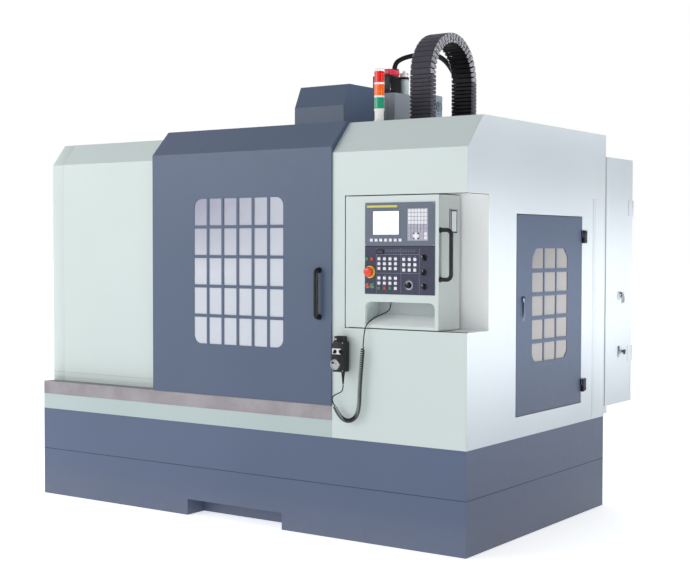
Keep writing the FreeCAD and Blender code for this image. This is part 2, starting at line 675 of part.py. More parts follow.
def operator_panel():
    flange = box(UNIT_X0, UNIT_X1, -UNIT_PROUD, 0, PANEL_Z0, PANEL_Z1 - RUN)
    body = box(
        UNIT_X0 + LAND + RUN, UNIT_X1 - LAND - RUN, 0, 55, PANEL_Z0 + LAND + RUN, PANEL_Z1 - RUN,
    )
    ring = prism_y(polygon(ESTOP[0], ESTOP[1], 29, ROUND), -UNIT_PROUD - 2, -UNIT_PROUD)
    x0, x1, z0, z1 = METER
    meter = box(x0, x1, -UNIT_PROUD - 4, -UNIT_PROUD, z0, z1)
    holes = [rod(ESTOP[0], -UNIT_PROUD - 3, ESTOP[1], ESTOP_STEM + RUN, 30, Y)]
    for x, z in (START, STOP):
        holes.append(rod(x, -UNIT_PROUD - 3, z, BUTTON_R + RUN, 20, Y))
    holes += [stem_bore(x, z, -UNIT_PROUD) for x, z in [OVERRIDE] + list(KNOBS.values())]
    return cut(join([flange, body, ring, meter]), holes)


def key_block(x0, z_top, cols, rows, pitch_x, pitch_z, w, h):
    keys = []
    for i in range(cols):
        for j in range(rows):
            x, z = x0 + i * pitch_x, z_top - j * pitch_z
            keys.append(box(x, x + w, -UNIT_PROUD - 4, -UNIT_PROUD, z - h, z))
    return keys


def keypads():
    """Soft keys, text keys and machine keys, as loose caps on their two units."""
    x, unit, panel = UNIT_X0, DISPLAY_Z0, PANEL_Z0
    soft = key_block(x + 37, unit + 36, 7, 1, 25, 20, 15, 14)
    text = key_block(x + 241, unit + 176, 6, 8, 18.5, 18.5, 14.5, 14.5)
    upper = key_block(x + 74, panel + 175, 4, 3, 31, 23, 16, 14)
    axes = key_block(x + 213, panel + 174, 3, 3, 30.5, 25, 16, 15)
    lower = key_block(x + 74, panel + 84, 4, 3, 31, 24, 16, 14)
    power = key_block(x + 3, panel + 175, 2, 1, 28, 20, 18, 15)
    return group(soft + text + upper + axes + lower + power)


def cap(x, z, r, y0, y1, bevel):
    """Flat-sided round cap with a bevelled front edge."""
    solid = prism_y(polygon(x, z, r, ROUND), y0, y1)
    rim = [e for e in solid.Edges if all(abs(v.Point.y - FRONT - y0) < 1e-6 for v in e.Vertexes)]
    return solid.makeChamfer(bevel, rim)


def estop_button():
    """Mushroom head on a round stem that runs in the panel."""
    x, z = ESTOP
    y = -UNIT_PROUD - 2
    plunger = rod(x, y - 8, z, ESTOP_STEM, 24, Y)
    return join([plunger, cap(x, z, 20, y - 24, y - 8, 6)])


def push_button(x, z):
    """Round cap that runs in a hole in the panel."""
    return rod(x, -UNIT_PROUD - 6, z, BUTTON_R, 17, Y)


def stem(x, z, face_y):
    """Round stem of a knob, from just in front of its panel's face into it."""
    return rod(x, face_y - RUN - 1, z, KNOB_STEM, STEM_L + RUN + 1, Y)


def stem_bore(x, z, face_y):
    return rod(x, face_y, z, KNOB_STEM + RUN, STEM_L + RUN, Y)


def knob(x, z, r, face_y, depth):
    """Flat-sided skirt with a finger bar across it, on a stem that runs in the panel."""
    y = face_y - RUN
    skirt = prism_y(polygon(x, z, r, ROUND), y - 5, y)
    bar = box(x - r * 0.32, x + r * 0.32, y - depth, y - 5, z - r * 0.95, z + r * 0.95)
    bar = bar.makeChamfer(r * 0.15, edges_along(bar, Y))
    return join([skirt, bar, stem(x, z, face_y)])


def override_knob():
    """Stepped knob with a tapered grip."""
    x, z = OVERRIDE
    y = -UNIT_PROUD - RUN
    skirt = prism_y(polygon(x, z, 22, ROUND), y - 4, y)
    return join([skirt, cap(x, z, 15, y - 20, y - 4, 4), stem(x, z, -UNIT_PROUD)])


# ---------------------------------------------------------------- castings and axes
def bed():
    """Ribbed cast bed on levelling feet, with two guideways for the saddle."""
    z0 = FOOT_H
    block = box(MID_X - BED_HALF, MID_X + BED_HALF, BED_Y0, COLUMN_Y1 + 20, z0, BED_TOP)
    ways = []
    for x in (MID_X - WAY_X, MID_X + WAY_X):
        ways.append(box(x - WAY_W / 2, x + WAY_W / 2, BED_Y0 + 30, COLUMN_Y0 - 30, BED_TOP, BED_TOP + WAY_H))
    cells = []
    pitch = (COLUMN_Y1 - BED_Y0 - BED_WALL) / BED_ROWS
    for j in range(BED_ROWS):
        for side in (-1, 1):
            a = MID_X + side * BED_WALL / 2
            b = MID_X + side * (BED_HALF - BED_WALL)
            y = BED_Y0 + BED_WALL + j * pitch
            cells.append(box(min(a, b), max(a, b), y, y + pitch - BED_WALL, z0, BED_TOP - 60))
    return cut(join([block] + ways), cells)


def levelling_feet():
    feet = []
    ys = (BED_Y0 + 70, (BED_Y0 + COLUMN_Y1) / 2, COLUMN_Y1 - 60)
    for y in ys:
        for x in (MID_X - BED_HALF + BED_WALL / 2, MID_X + BED_HALF - BED_WALL / 2):
            pad = prism_z(polygon(x, y, FOOT_R, 12), 0, 22)
            feet.append(pad.fuse(prism_z(polygon(x, y, 18, 6), 22, FOOT_H)))
    return group(feet)


def column():
    half, foot, waist = COLUMN_HALF, COLUMN_FOOT, COLUMN_WAIST
    outline = [
        (MID_X - foot, BED_TOP), (MID_X + foot, BED_TOP), (MID_X + half, waist),
        (MID_X + half, COLUMN_TOP), (MID_X - half, COLUMN_TOP), (MID_X - half, waist),
    ]
    body = prism_y(outline, COLUMN_Y0, COLUMN_Y1)
    t = COLUMN_WALL
    core = [
        (MID_X - foot + t, BED_TOP + 90), (MID_X + foot - t, BED_TOP + 90), (MID_X + half - t, waist),
        (MID_X + half - t, COLUMN_TOP - t), (MID_X - half + t, COLUMN_TOP - t), (MID_X - half + t, waist),
    ]
    hollow = prism_y(core, COLUMN_Y0 + 1.5 * t, COLUMN_Y1)
    ribs = []
    for z in ((BED_TOP + waist) / 2 + 20, waist, (waist + COLUMN_TOP) / 2):
        ribs.append(box(
            MID_X - foot + t / 2, MID_X + foot - t / 2, COLUMN_Y0 + t, COLUMN_Y1 - 60, z, z + COLUMN_RIB,
        ))
    body = body.cut(cut(hollow, ribs))
    ways = []
    for x in (MID_X - SLIDE_HALF + 40, MID_X + SLIDE_HALF - 40):
        ways.append(box(
            x - WAY_W / 2, x + WAY_W / 2, COLUMN_Y0 - WAY_H, COLUMN_Y0, COLUMN_WAIST - 500, COLUMN_TOP - 20,
        ))
    return join([body] + ways)


def z_motor_bracket():
    """Box casting over the top of the Z screw, with the junction box beside it."""
    casting = box(
        MID_X - BRACKET_HALF, MID_X + BRACKET_HALF, BRACKET_Y0, BRACKET_Y1, COLUMN_TOP, BRACKET_TOP,
    )
    return casting.cut(box(MID_X - 60, MID_X + 60, BRACKET_Y0, BRACKET_Y1, COLUMN_TOP, BRACKET_TOP - 40))


def junction_box():
    x1, y = JUNCTION_X1, JUNCTION_Y
    body = box(x1 - JUNCTION_W, x1, y - 61, y + 44, COLUMN_TOP, COLUMN_TOP + JUNCTION_H)
    body = body.makeChamfer(6, edges_along(body, X))
    lid = prism_x(polygon(y, LID_Z, LID_R, ROUND), x1, x1 + 10)
    boss = prism_x(polygon(y, LID_Z, LID_R - 11, ROUND), x1 + 10, x1 + 15)
    return join([body, lid, boss])


def z_servo_motor():
    y = BRACKET_Y0 + 5 + SERVO / 2
    h = SERVO / 2
    flange = box(MID_X - h, MID_X + h, y - h, y + h, BRACKET_TOP, BRACKET_TOP + 14)
    flange = flange.makeChamfer(16, edges_along(flange, Z))
    body = box(MID_X - h + 3, MID_X + h - 3, y - h + 3, y + h - 3, BRACKET_TOP + 14, SERVO_TOP)
    body = body.makeChamfer(14, edges_along(body, Z))
    return join([flange, body])


def z_motor_cap():
    y = BRACKET_Y0 + 5 + SERVO / 2
    h = CAP / 2
    cap = box(MID_X - h, MID_X + h, y - h, y + h, SERVO_TOP, CAP_TOP)
    cap = cap.makeChamfer(18, edges_along(cap, Z))
    rim = [e for e in cap.Edges if all(abs(v.Point.z - CAP_TOP) < 1e-6 for v in e.Vertexes)]
    return cap.makeChamfer(8, rim)


def booster_cylinder():
    x, y = BOOSTER_X, BOOSTER_Y
    steps = [
        (BOOSTER_R, BRACKET_TOP, BRACKET_TOP + 12), (BOOSTER_R - 4, BRACKET_TOP + 12, BOOSTER_TOP - 14),
        (BOOSTER_R, BOOSTER_TOP - 14, BOOSTER_TOP), (8, BOOSTER_TOP, BOOSTER_TOP + 14),
    ]
    return join([prism_z(polygon(x, y, r, ROUND), z0, z1) for r, z0, z1 in steps])


def saddle():
    """Cross slide: rides the bed's ways and carries the table's."""
    y0, y1 = SPINDLE_Y - 190, SPINDLE_Y + 190
    z0 = BED_TOP + WAY_H + RUN
    body = box(MID_X - WAY_X - 70, MID_X + WAY_X + 70, y0, y1, z0, SADDLE_TOP - 40)
    x0, x1, top = MID_X - SADDLE_HALF, MID_X + SADDLE_HALF, SADDLE_TOP + WAY_H
    wide = box(x0, x1, y0 + 20, y1 - 20, SADDLE_TOP - 60, SADDLE_TOP)
    ways = []
    for y in (y0 + 70, y1 - 70):
        ways.append(box(x0, x1, y - WAY_W / 2, y + WAY_W / 2, SADDLE_TOP, top))
    return join([body, wide] + ways)


def table():
    """T-slot table with a chip gutter all round its top."""
    y0, y1 = SPINDLE_Y - TABLE_D / 2, SPINDLE_Y + TABLE_D / 2
    x0, x1 = MID_X - TABLE_L / 2, MID_X + TABLE_L / 2
    slab = box(x0, x1, y0, y1, TABLE_TOP - TABLE_T, TABLE_TOP)
    carriage = box(
        MID_X - 270, MID_X + 270, y0 + 60, y1 - 60, SADDLE_TOP + WAY_H + RUN, TABLE_TOP - TABLE_T,
    )
    slots = []
    for i in (-1, 0, 1):
        y = SPINDLE_Y + i * TSLOT_PITCH
        neck = box(x0, x1, y - TSLOT_W / 2, y + TSLOT_W / 2, TABLE_TOP - 30, TABLE_TOP)
        head = box(x0, x1, y - TSLOT_W * 0.83, y + TSLOT_W * 0.83, TABLE_TOP - 42, TABLE_TOP - 30)
        slots += [neck, head]
    return cut(join([slab, carriage]), slots)


def spindle_head():
    """Head casting: slide on the column's ways, box arm and spindle nose."""
    y1 = THROAT_Y1
    slide = box(MID_X - SLIDE_HALF, MID_X + SLIDE_HALF, y1 - SLIDE_T + WAY_H, y1, SLIDE_Z0, SLIDE_Z1)
    arm_line = [
        (HEAD_Y0, HEAD_Z0), (HEAD_Y0, HEAD_Z1), (COVER_Y1 + 8, HEAD_Z1), (y1 - 20, HEAD_Z1 + 110),
        (y1 - 20, HEAD_Z0 - 90),
        (HEAD_Y0 + 260, HEAD_Z0),
    ]
    arm = prism_x(arm_line, MID_X - HEAD_HALF, MID_X + HEAD_HALF)
    nose = post(MID_X, SPINDLE_Y, NOSE_Z + 14, HEAD_Z0, NOSE_R)
    lip = Part.makeCone(NOSE_R - 14, NOSE_R, 14, V(MID_X, FRONT + SPINDLE_Y, NOSE_Z))
    arm_top = CHAIN_MOVING - 8
    hanger = box(MID_X + SLIDE_HALF, CHAIN_X1, CHAIN_Y, CHAIN_Y + CHAIN_T, arm_top - 12, arm_top + 8)
    gusset = box(MID_X + SLIDE_HALF - 1, CHAIN_X0 - 6, CHAIN_Y + 10, CHAIN_Y + 24, arm_top - 90, arm_top)
    casting = join([slide, arm, nose, lip, hanger, gusset])
    return casting.cut(post(MID_X, SPINDLE_Y, NOSE_Z - 1, HEAD_Z1 + 60, BORE_R))


def spindle():
    body = post(MID_X, SPINDLE_Y, NOSE_Z - 6, HEAD_Z1 - 4, SPINDLE_R)
    taper = Part.makeCone(TAPER_BIG, TAPER_SMALL, TAPER_L, V(MID_X, FRONT + SPINDLE_Y, NOSE_Z - 6))
    keys = []
    for side in (-1, 1):
        a = MID_X + side * 33 - 8
        keys.append(box(a, a + 16, SPINDLE_Y - 8, SPINDLE_Y + 8, NOSE_Z - 14, NOSE_Z - 6))
    return join([body.cut(taper)] + keys)


def spindle_motor():
    h = MOTOR_HALF
    y = SPINDLE_Y
    flange = box(MID_X - h - 12, MID_X + h + 12, y - h, y + h + 12, HEAD_Z1 + 60, HEAD_Z1 + 78)
    body = box(MID_X - h, MID_X + h, y - h + 4, y + h, HEAD_Z1 + 78, MOTOR_TOP)
    body = body.makeChamfer(26, edges_along(body, Z))
    lantern = post(MID_X, y, HEAD_Z1, HEAD_Z1 + 62, 80)
    return join([flange, body, lantern])


def head_cover():
    """Folded sheet cover with a sloped front, open underneath."""
    x0, x1 = MID_X - COVER_W / 2, MID_X + COVER_W / 2
    z0 = HEAD_Z1
    outline = [
        (COVER_Y0, z0), (COVER_Y0, COVER_FOLD), (COVER_Y0 + COVER_SLOPE, COVER_TOP),
        (COVER_Y1, COVER_TOP), (COVER_Y1, z0),
    ]
    solid = prism_x(outline, x0, x1)
    shell = solid.cut(prism_x(inset(outline, SHEET), x0 + SHEET, x1 - SHEET))
    tabs = []
    for y in (COVER_Y0 + 60, COVER_Y1 - 120):
        for a, b in ((x0 + SHEET, MID_X - HEAD_HALF + 30), (MID_X + HEAD_HALF - 30, x1 - SHEET)):
            tabs.append(box(a, b, y, y + 40, z0, z0 + SHEET))
    return join([shell] + tabs)


# ---------------------------------------------------------------- tool magazine
def magazine_beam():
    x0, y0, y1 = MID_X - COLUMN_HALF, COLUMN_Y0 - BEAM_T, COLUMN_Y0
    rail = box(BEAM_X0, x0 + 20, y0, y1, ARM_Z1, BEAM_Z1)
    plate = box(x0, x0 + 20, y0, y1, ARM_Z1 - 60, BEAM_Z1 + 60)
    return join([rail, plate])


def magazine_carriage():
    y1 = COLUMN_Y0 - BEAM_T - RUN
    block = box(ARM_X0 - 90, ARM_X1, y1 - 70, y1, ARM_Z1 - 10, BEAM_Z1)
    arm = box(ARM_X0, ARM_X1, SPINDLE_Y - 70, y1, ARM_Z0, ARM_Z1)
    arm = arm.makeChamfer(24, [e for e in edges_along(arm, Z) if e.Vertexes[0].Point.y < FRONT + SPINDLE_Y])
    pin = post(DRUM_X, SPINDLE_Y, DRUM_Z + 4, ARM_Z0, 20)
    return join([block, arm, pin])


def tool_drum():
    """Disc with a fork for each tool, and a hub that turns on the carriage's pin."""
    disc = post(DRUM_X, SPINDLE_Y, DRUM_Z, DRUM_Z + DRUM_T, DRUM_R)
    notches = []
    for i in range(POCKETS):
        a = 2 * math.pi * i / POCKETS
        root, flare = TOOL_CIRCLE - POCKET_R, POCKET_R * 0.55
        fork = [
            (DRUM_X + DRUM_R + 5, SPINDLE_Y - POCKET_R), (DRUM_X + root + flare, SPINDLE_Y - POCKET_R),
            (DRUM_X + root, SPINDLE_Y - flare), (DRUM_X + root, SPINDLE_Y + flare),
            (DRUM_X + root + flare, SPINDLE_Y + POCKET_R), (DRUM_X + DRUM_R + 5, SPINDLE_Y + POCKET_R),
        ]
        notch = prism_z(fork, DRUM_Z, DRUM_Z + DRUM_T)
        notch.rotate(V(DRUM_X, FRONT + SPINDLE_Y, 0), Z, math.degrees(a))
        notches.append(notch)
    hub = post(DRUM_X, SPINDLE_Y, DRUM_Z, HUB_TOP, HUB_R)
    body = join([cut(disc, notches), hub])
    return body.cut(post(DRUM_X, SPINDLE_Y, DRUM_Z, HUB_TOP, 20 + RUN))


# ---------------------------------------------------------------- cable carrier
def chain_run(y0, z0, z1, count):
    """Straight stretch of links as one row of ribs on a core."""
    pitch = (z1 - z0) / count
    core = box(CHAIN_X0 + PLATE, CHAIN_X1 - PLATE, y0 + 5, y0 + CHAIN_T - 5, z0, z1)
    ribs = []
    for i in range(count):
        a = z0 + i * pitch + LINK_GAP / 2
        ribs.append(box(CHAIN_X0, CHAIN_X1, y0, y0 + CHAIN_T, a, a + pitch - LINK_GAP))
    return join([core] + ribs)


REAR_LEG_Y = CHAIN_Y + 2 * CHAIN_R
BEND_Y = CHAIN_Y + CHAIN_T / 2 + CHAIN_R


def carrier_front_leg():
    return chain_run(CHAIN_Y, CHAIN_MOVING, CHAIN_TOP, 11)


def carrier_rear_leg():
    return chain_run(REAR_LEG_Y, CHAIN_FIXED, CHAIN_TOP, 16)


def bend_outline(r0, r1, a0, a1, count):
    """(y, z) outline of a stretch of flat-sided ring round the carrier's bend."""
    angles = [a0 + (a1 - a0) * i / count for i in range(count + 1)]
    outer = [(BEND_Y - r1 * math.cos(a), CHAIN_TOP + r1 * math.sin(a)) for a in angles]
    inner = [(BEND_Y - r0 * math.cos(a), CHAIN_TOP + r0 * math.sin(a)) for a in reversed(angles)]
    return outer + inner


def carrier_crown():
    links = round(math.pi * CHAIN_R / CHAIN_PITCH)
    r0, r1 = CHAIN_R - CHAIN_T / 2, CHAIN_R + CHAIN_T / 2
    core = prism_x(bend_outline(r0 + 5, r1 - 5, 0, math.pi, links), CHAIN_X0 + PLATE, CHAIN_X1 - PLATE)
    step = math.pi / links
    gap = LINK_GAP / 2 / CHAIN_R
    ribs = []
    for i in range(links):
        a = i * step
        ribs.append(prism_x(bend_outline(r0, r1, a + gap, a + step - gap, 1), CHAIN_X0, CHAIN_X1))
    return join([core] + ribs)


def carrier_shelf():
    """Bracket on the column's flank that holds the carrier's fixed end."""
    return box(
        MID_X + COLUMN_HALF - 5, CHAIN_X1, REAR_LEG_Y, REAR_LEG_Y + CHAIN_T, CHAIN_FIXED - 14, CHAIN_FIXED,
    )


# ---------------------------------------------------------------- routes
def route(points, label=""):
    """Wire through the points: straight runs joined by tangent arcs as large as the runs allow."""
    pts = [V(x, FRONT + y, z) for x, y, z in points]
    edges, start, radii = [], pts[0], []
    for a, b, c in zip(pts, pts[1:], pts[2:]):
        u, w = b - a, c - b
        turn = u.getAngle(w)
        reach = 0.45 * min(u.Length, w.Length)
        radius = reach / math.tan(turn / 2)
        radii.append(round(radius, 1))
        p, q = b - V(u).normalize() * reach, b + V(w).normalize() * reach
        bisector = (V(w).normalize() - V(u).normalize()).normalize()
        middle = b + bisector * (radius / math.cos(turn / 2) - radius)
        edges.append(Part.LineSegment(start, p).toShape())
        edges.append(Part.Arc(p, middle, q).toShape())
        start = q
    edges.append(Part.LineSegment(start, pts[-1]).toShape())
    if label:
        print(label, "arc radii", radii)
    return Part.Wire(edges)


def tube_ring(at, ahead, d, sides):
    """Corners of a tube's section across the direction ahead, of the same area as a circle."""
    across = ahead.cross(V(0, 1, 0)) if abs(ahead.y) < 0.9 else ahead.cross(V(1, 0, 0))
    across.normalize()
    over = ahead.cross(across)
    step = 2 * math.pi / sides
    radius = d / 2 * math.sqrt(step / math.sin(step))
    angles = [step * (i + 0.5) for i in range(sides)]
    return [at + (across * math.cos(a) + over * math.sin(a)) * radius for a in angles]


def tube(wire, d, sides, label=""):
    """Faceted tube along the wire, of the same section area as a round one of diameter d."""
    first = wire.OrderedEdges[0]
    ring = tube_ring(first.valueAt(first.FirstParameter), first.tangentAt(first.FirstParameter), d, sides)
    solid = wire.makePipeShell([Part.makePolygon(ring + ring[:1])], True, False)
    if label:
        ideal = math.pi * d * d / 4 * wire.Length
        print(label, "length", round(wire.Length, 1), "volume over section times length",
              round(solid.Volume / ideal, 4))
    return solid


def shifted(points, x0, z0=0.0):
    """Route points given from (x0, z0)."""
    return [(x0 + x, y, z0 + z) for x, y, z in points]


CURL_ROUTE = shifted([
    (-13.0, -30.0, 668.0), (19.0, -30.0, 610.0), (70.0, -30.0, 583.0), (120.0, -30.0, 606.0),
    (139.0, -30.0, 660.0), (142.0, -30.0, 760.0), (151.0, -30.0, 860.0), (161.0, -30.0, 960.0),
], PENDANT_X0)
LEAD_ROUTE = shifted([
    (51.0, -39.0, 764.0), (51.0, -39.0, 745.0), (41.0, -38.0, 727.5), (21.5, -36.0, 718.6),
    (2.4, -33.5, 710.9), (-11.5, -31.5, 702.9), (-19.4, -30.0, 693.9), (-20.68, -30.0, 681.92),
], PENDANT_X0) + [CURL_ROUTE[0]]
TAIL_ROUTE = [CURL_ROUTE[-1]] + shifted([
    (12.0, -30.0, 990.0), (12.0, -24.0, 1022.0), (13.0, -14.0, 1050.0), (24.0, 8.0, 1074.0),
    (49.0, 30.0, 1096.0), (82.0, 48.0, 1110.0), (107.0, 60.0, 1130.0), (107.0, 60.0, 1158.0),
], UNIT_X0)


def cord_lead():
    return tube(route(LEAD_ROUTE, "lead"), CORD_D, CORD_SIDES, "lead")


def cord_tail():
    return tube(route(TAIL_ROUTE, "tail"), CORD_D, CORD_SIDES, "tail")


def along(wire):
    """Function from a distance along the wire to the point and direction there."""
    spans, total = [], 0.0
    for e in wire.OrderedEdges:
        spans.append((total, total + e.Length, e))
        total += e.Length

    def place(s):
        for a, b, e in spans:
            if s <= b or e is spans[-1][2]:
                t = e.getParameterByLength(min(max(s - a, 0.0), e.Length))
                return e.valueAt(t), e.tangentAt(t).normalize()
    return place, total


def curl_points():
    """Points of the helix, STEPS to a turn, between its two straight ends.

    The first and last turns open out slowly over two pitches each.
    """
    place, length = along(route(CURL_ROUTE, "curl"))
    r = (CURL_D - CORD_D) / 2
    first, last = CORD_D, length - CORD_D
    pitch = (last - first) / (CURLS + 2)
    ease = 2 * pitch

    def distance(turns):
        """Distance along the route, from its straight end, at a number of turns."""
        if turns < 1:
            return ease * math.sqrt(turns)
        if turns > CURLS - 1:
            return last - first - ease * math.sqrt(CURLS - turns)
        return ease + (turns - 1) * pitch

    def spot(turns):
        s = first + distance(turns)
        centre, t = place(s)
        across = V(0, 1, 0)
        up = t.cross(across).normalize()
        fade = min(1.0, (s - first) / ease, (last - s) / ease)
        fade = fade * fade * (3 - 2 * fade)
        phi = 2 * math.pi * turns
        return centre + (across * math.cos(phi) + up * math.sin(phi)) * (r * fade)

    helix = [spot(i / STEPS) for i in range(CURLS * STEPS + 1)]
    print("curl pitch", round(pitch, 2), "least gap", round(least_gap(helix) - CORD_D, 2))
    return [place(0)[0]] + helix + [place(length)[0]]


def least_gap(helix):
    """Smallest distance between points more than half a turn apart."""
    best = math.inf
    for i, p in enumerate(helix):
        for q in helix[i + STEPS // 2 + 1:i + 2 * STEPS]:
            best = min(best, (p - q).Length)
    return best


def mitred_tube(points, d, sides):
    """Flat-sided tube on straight runs that are mitred where they meet."""
    runs = [(b - a).normalize() for a, b in zip(points, points[1:])]
    planes = [(u + w).normalize() for u, w in zip(runs, runs[1:])] + [runs[-1]]
    rings = [tube_ring(points[0], runs[0], d, sides)]
    for p, ahead, normal in zip(points[1:], runs, planes):
        rings.append([q + ahead * ((p - q).dot(normal) / ahead.dot(normal)) for q in rings[-1]])
    faces = [Part.Face(Part.makePolygon(ring + ring[:1])) for ring in (rings[0], rings[-1])]
    for a, b in zip(rings, rings[1:]):
        for i in range(sides):
            j = (i + 1) % sides
            faces.append(Part.Face(Part.makePolygon([a[i], a[j], b[j], b[i], a[i]])))
    return Part.Solid(Part.Shell(faces))


def cord_curl():
    points = curl_points()
    solid = mitred_tube(points, CORD_D, CORD_SIDES)
    length = sum((b - a).Length for a, b in zip(points, points[1:]))
    print("curl length", round(length, 1), "valid", solid.isValid(), "volume over section times length",
          round(solid.Volume / (math.pi * CORD_D * CORD_D / 4 * length), 4))
    return solid


HOSE_D = 30.0
HOSE_ROUTE = shifted([
    (36.0, 1425.0, 0.0), (36.0, 1425.0, 48.0), (84.0, 1440.0, 90.0), (159.0, 1460.0, 105.0),
    (214.0, 1510.0, 119.0), (242.0, 1590.0, 111.0), (248.0, 1680.0, 65.0), (244.0, 1755.0, -15.0),
    (232.0, 1790.0, -115.0), (220.0, 1795.0, -225.0), (220.0, 1795.0, -325.0),
], MID_X, CAP_TOP)


def cable_bundle():
    """Hoses from the servo motor over the column's shoulder and down behind it."""
    main = tube(route(HOSE_ROUTE, "bundle"), HOSE_D, HOSE_SIDES, "bundle")
    gland = prism_z(polygon(HOSE_ROUTE[-1][0], HOSE_ROUTE[-1][1], HOSE_D / 2 + 8, HOSE_SIDES),
                    COLUMN_TOP, COLUMN_TOP + 26)
    return join([main, gland])


# ---------------------------------------------------------------- cabinet
CAB_T = 20.0
CAB_HINGE_Y = CAB_Y1 + CAB_T
CAB_HINGES = (820.0, 1650.0)
CAB_HINGE_H = 90.0
CAB_PIN, CAB_KNUCKLE = 4.0, 7.0
SOCKET_T = 8.0           # isolator's round base
SWITCH_STEM = 5.0


def control_cabinet():
    shell = box(CAB_X0, RIGHT, CAB_Y0, CAB_Y1, CAB_Z0, CAB_Z1)
    z0, z1 = CAB_Z0 + SHEET, CAB_Z1 - SHEET
    shell = shell.cut(box(CAB_X0 + SHEET, RIGHT - SHEET, CAB_Y0 + SHEET, CAB_Y1, z0, z1))
    feet = []
    for x in (CAB_X0 + 60, RIGHT - 70):
        feet.append(box(x, x + 60, BASE_D + 2 * SHEET, CAB_Y0 + 50, CAB_Z0 - 42, CAB_Z0))
        feet.append(box(x, x + 60, BASE_D + 2 * SHEET, CAB_Y0, CAB_Z1 - 120, CAB_Z1 - 60))
    plate = box(CAB_X0 + 60, RIGHT - 60, CAB_Y0 + SHEET, CAB_Y0 + 28, CAB_Z0 + 80, CAB_Z1 - 80)
    leaves = []
    for z in CAB_HINGES:
        z0, z1 = z - CAB_HINGE_H / 2, z + CAB_HINGE_H / 2
        leaf = box(RIGHT, RIGHT + 4, CAB_Y1 - 40, CAB_Y1 - RUN, z0, z1)
        web = box(RIGHT + RUN, RIGHT + 4, CAB_Y1 - 1, CAB_HINGE_Y, z0, z - RUN)
        pin = post(RIGHT, CAB_HINGE_Y, z - 1, z1 - 3, CAB_PIN)
        leaves += [leaf, web, knuckle(RIGHT, CAB_HINGE_Y, z0, z - RUN, CAB_KNUCKLE), pin]
    socket = prism_x(polygon(SWITCH_Y, SWITCH_Z, 26, ROUND), RIGHT, RIGHT + SOCKET_T)
    x, r = RIGHT - SHEET, SWITCH_STEM + RUN
    bores = [rod(x, SWITCH_Y, z, r, SHEET + SOCKET_T, X) for z in (SWITCH_Z, LOCK_Z)]
    return cut(join([shell, plate, socket] + feet + leaves), bores)


def cabinet_door():
    y0, y1 = CAB_Y1 + RUN, CAB_Y1 + CAB_T
    leaf = box(CAB_X0, RIGHT, y0, y1, CAB_Z0, CAB_Z1)
    tray = box(CAB_X0 + SHEET, RIGHT - SHEET, y0, y1 - SHEET, CAB_Z0 + SHEET, CAB_Z1 - SHEET)
    leaf = leaf.cut(tray)
    clear, barrels = [], []
    for z in CAB_HINGES:
        z0, z1 = z - CAB_HINGE_H / 2, z + CAB_HINGE_H / 2
        notch = CAB_KNUCKLE + 3
        clear.append(box(RIGHT - notch, RIGHT, CAB_HINGE_Y - notch, CAB_HINGE_Y, z0 - 1, z))
        clear.append(post(RIGHT, CAB_HINGE_Y, z, z1 - 2, CAB_PIN + RUN))
        barrels.append(knuckle(RIGHT, CAB_HINGE_Y, z, z1, CAB_KNUCKLE))
    slots = []
    for j in range(6):
        z = CAB_Z0 + 120 + j * 24
        slots.append(box(MID_CAB - 120, MID_CAB + 120, y1 - SHEET, y1, z, z + 8))
    return cut(join([leaf] + barrels), clear + slots)


MID_CAB = (CAB_X0 + RIGHT) / 2


def main_switch():
    """Isolator handle on the cabinet's flank."""
    x = RIGHT + SOCKET_T + RUN
    disc = prism_x(polygon(SWITCH_Y, SWITCH_Z, 22, ROUND), x, x + 8)
    shaft = rod(RIGHT - SHEET, SWITCH_Y, SWITCH_Z, SWITCH_STEM, SHEET + SOCKET_T + 1, X)
    grip = box(x + 8, x + 24, SWITCH_Y - 7, SWITCH_Y + 7, SWITCH_Z - 44, SWITCH_Z + 24)
    grip = grip.makeChamfer(4, edges_along(grip, X))
    return join([disc, grip, shaft])


def cabinet_lock():
    """Swing latch below the isolator."""
    x = RIGHT + RUN
    boss = prism_x(polygon(SWITCH_Y, LOCK_Z, 20, ROUND), x, x + 12)
    tail = box(x + 4, x + 12, SWITCH_Y, SWITCH_Y + 84, LOCK_Z - 11, LOCK_Z + 11)
    tail = tail.makeChamfer(6, edges_along(tail, X))
    shaft = rod(RIGHT - SHEET, SWITCH_Y, LOCK_Z, SWITCH_STEM, SHEET + 1, X)
    return join([boss, tail, shaft])


# ---------------------------------------------------------------- signal tower
def lamp_floor(i):
    return RIGHT_TOP + TOWER_BASE + i * (LAMP_H + RING_H)


def signal_mast():
    """Foot, the rings between the lamps and the cap, which stack up with them."""
    base = prism_z(polygon(TOWER_X, TOWER_Y, TOWER_R - 2, ROUND), RIGHT_TOP, lamp_floor(0))
    outline = polygon(TOWER_X, TOWER_Y, TOWER_R, ROUND)
    rings = [prism_z(outline, lamp_floor(i) - RING_H, lamp_floor(i)) for i in (1, 2, 3)]
    return group([base] + rings)


def signal_lamps():
    """Three lens drums: green, amber and red from below."""
    outline = polygon(TOWER_X, TOWER_Y, TOWER_R, ROUND)
    return group([prism_z(outline, lamp_floor(i), lamp_floor(i) + LAMP_H) for i in range(3)])


# ---------------------------------------------------------------- pendant
SELECT_Z = 923.0
SELECTORS = (PENDANT_X0 + 19, PENDANT_X0 + 53)
FACE_Y = PENDANT_Y0


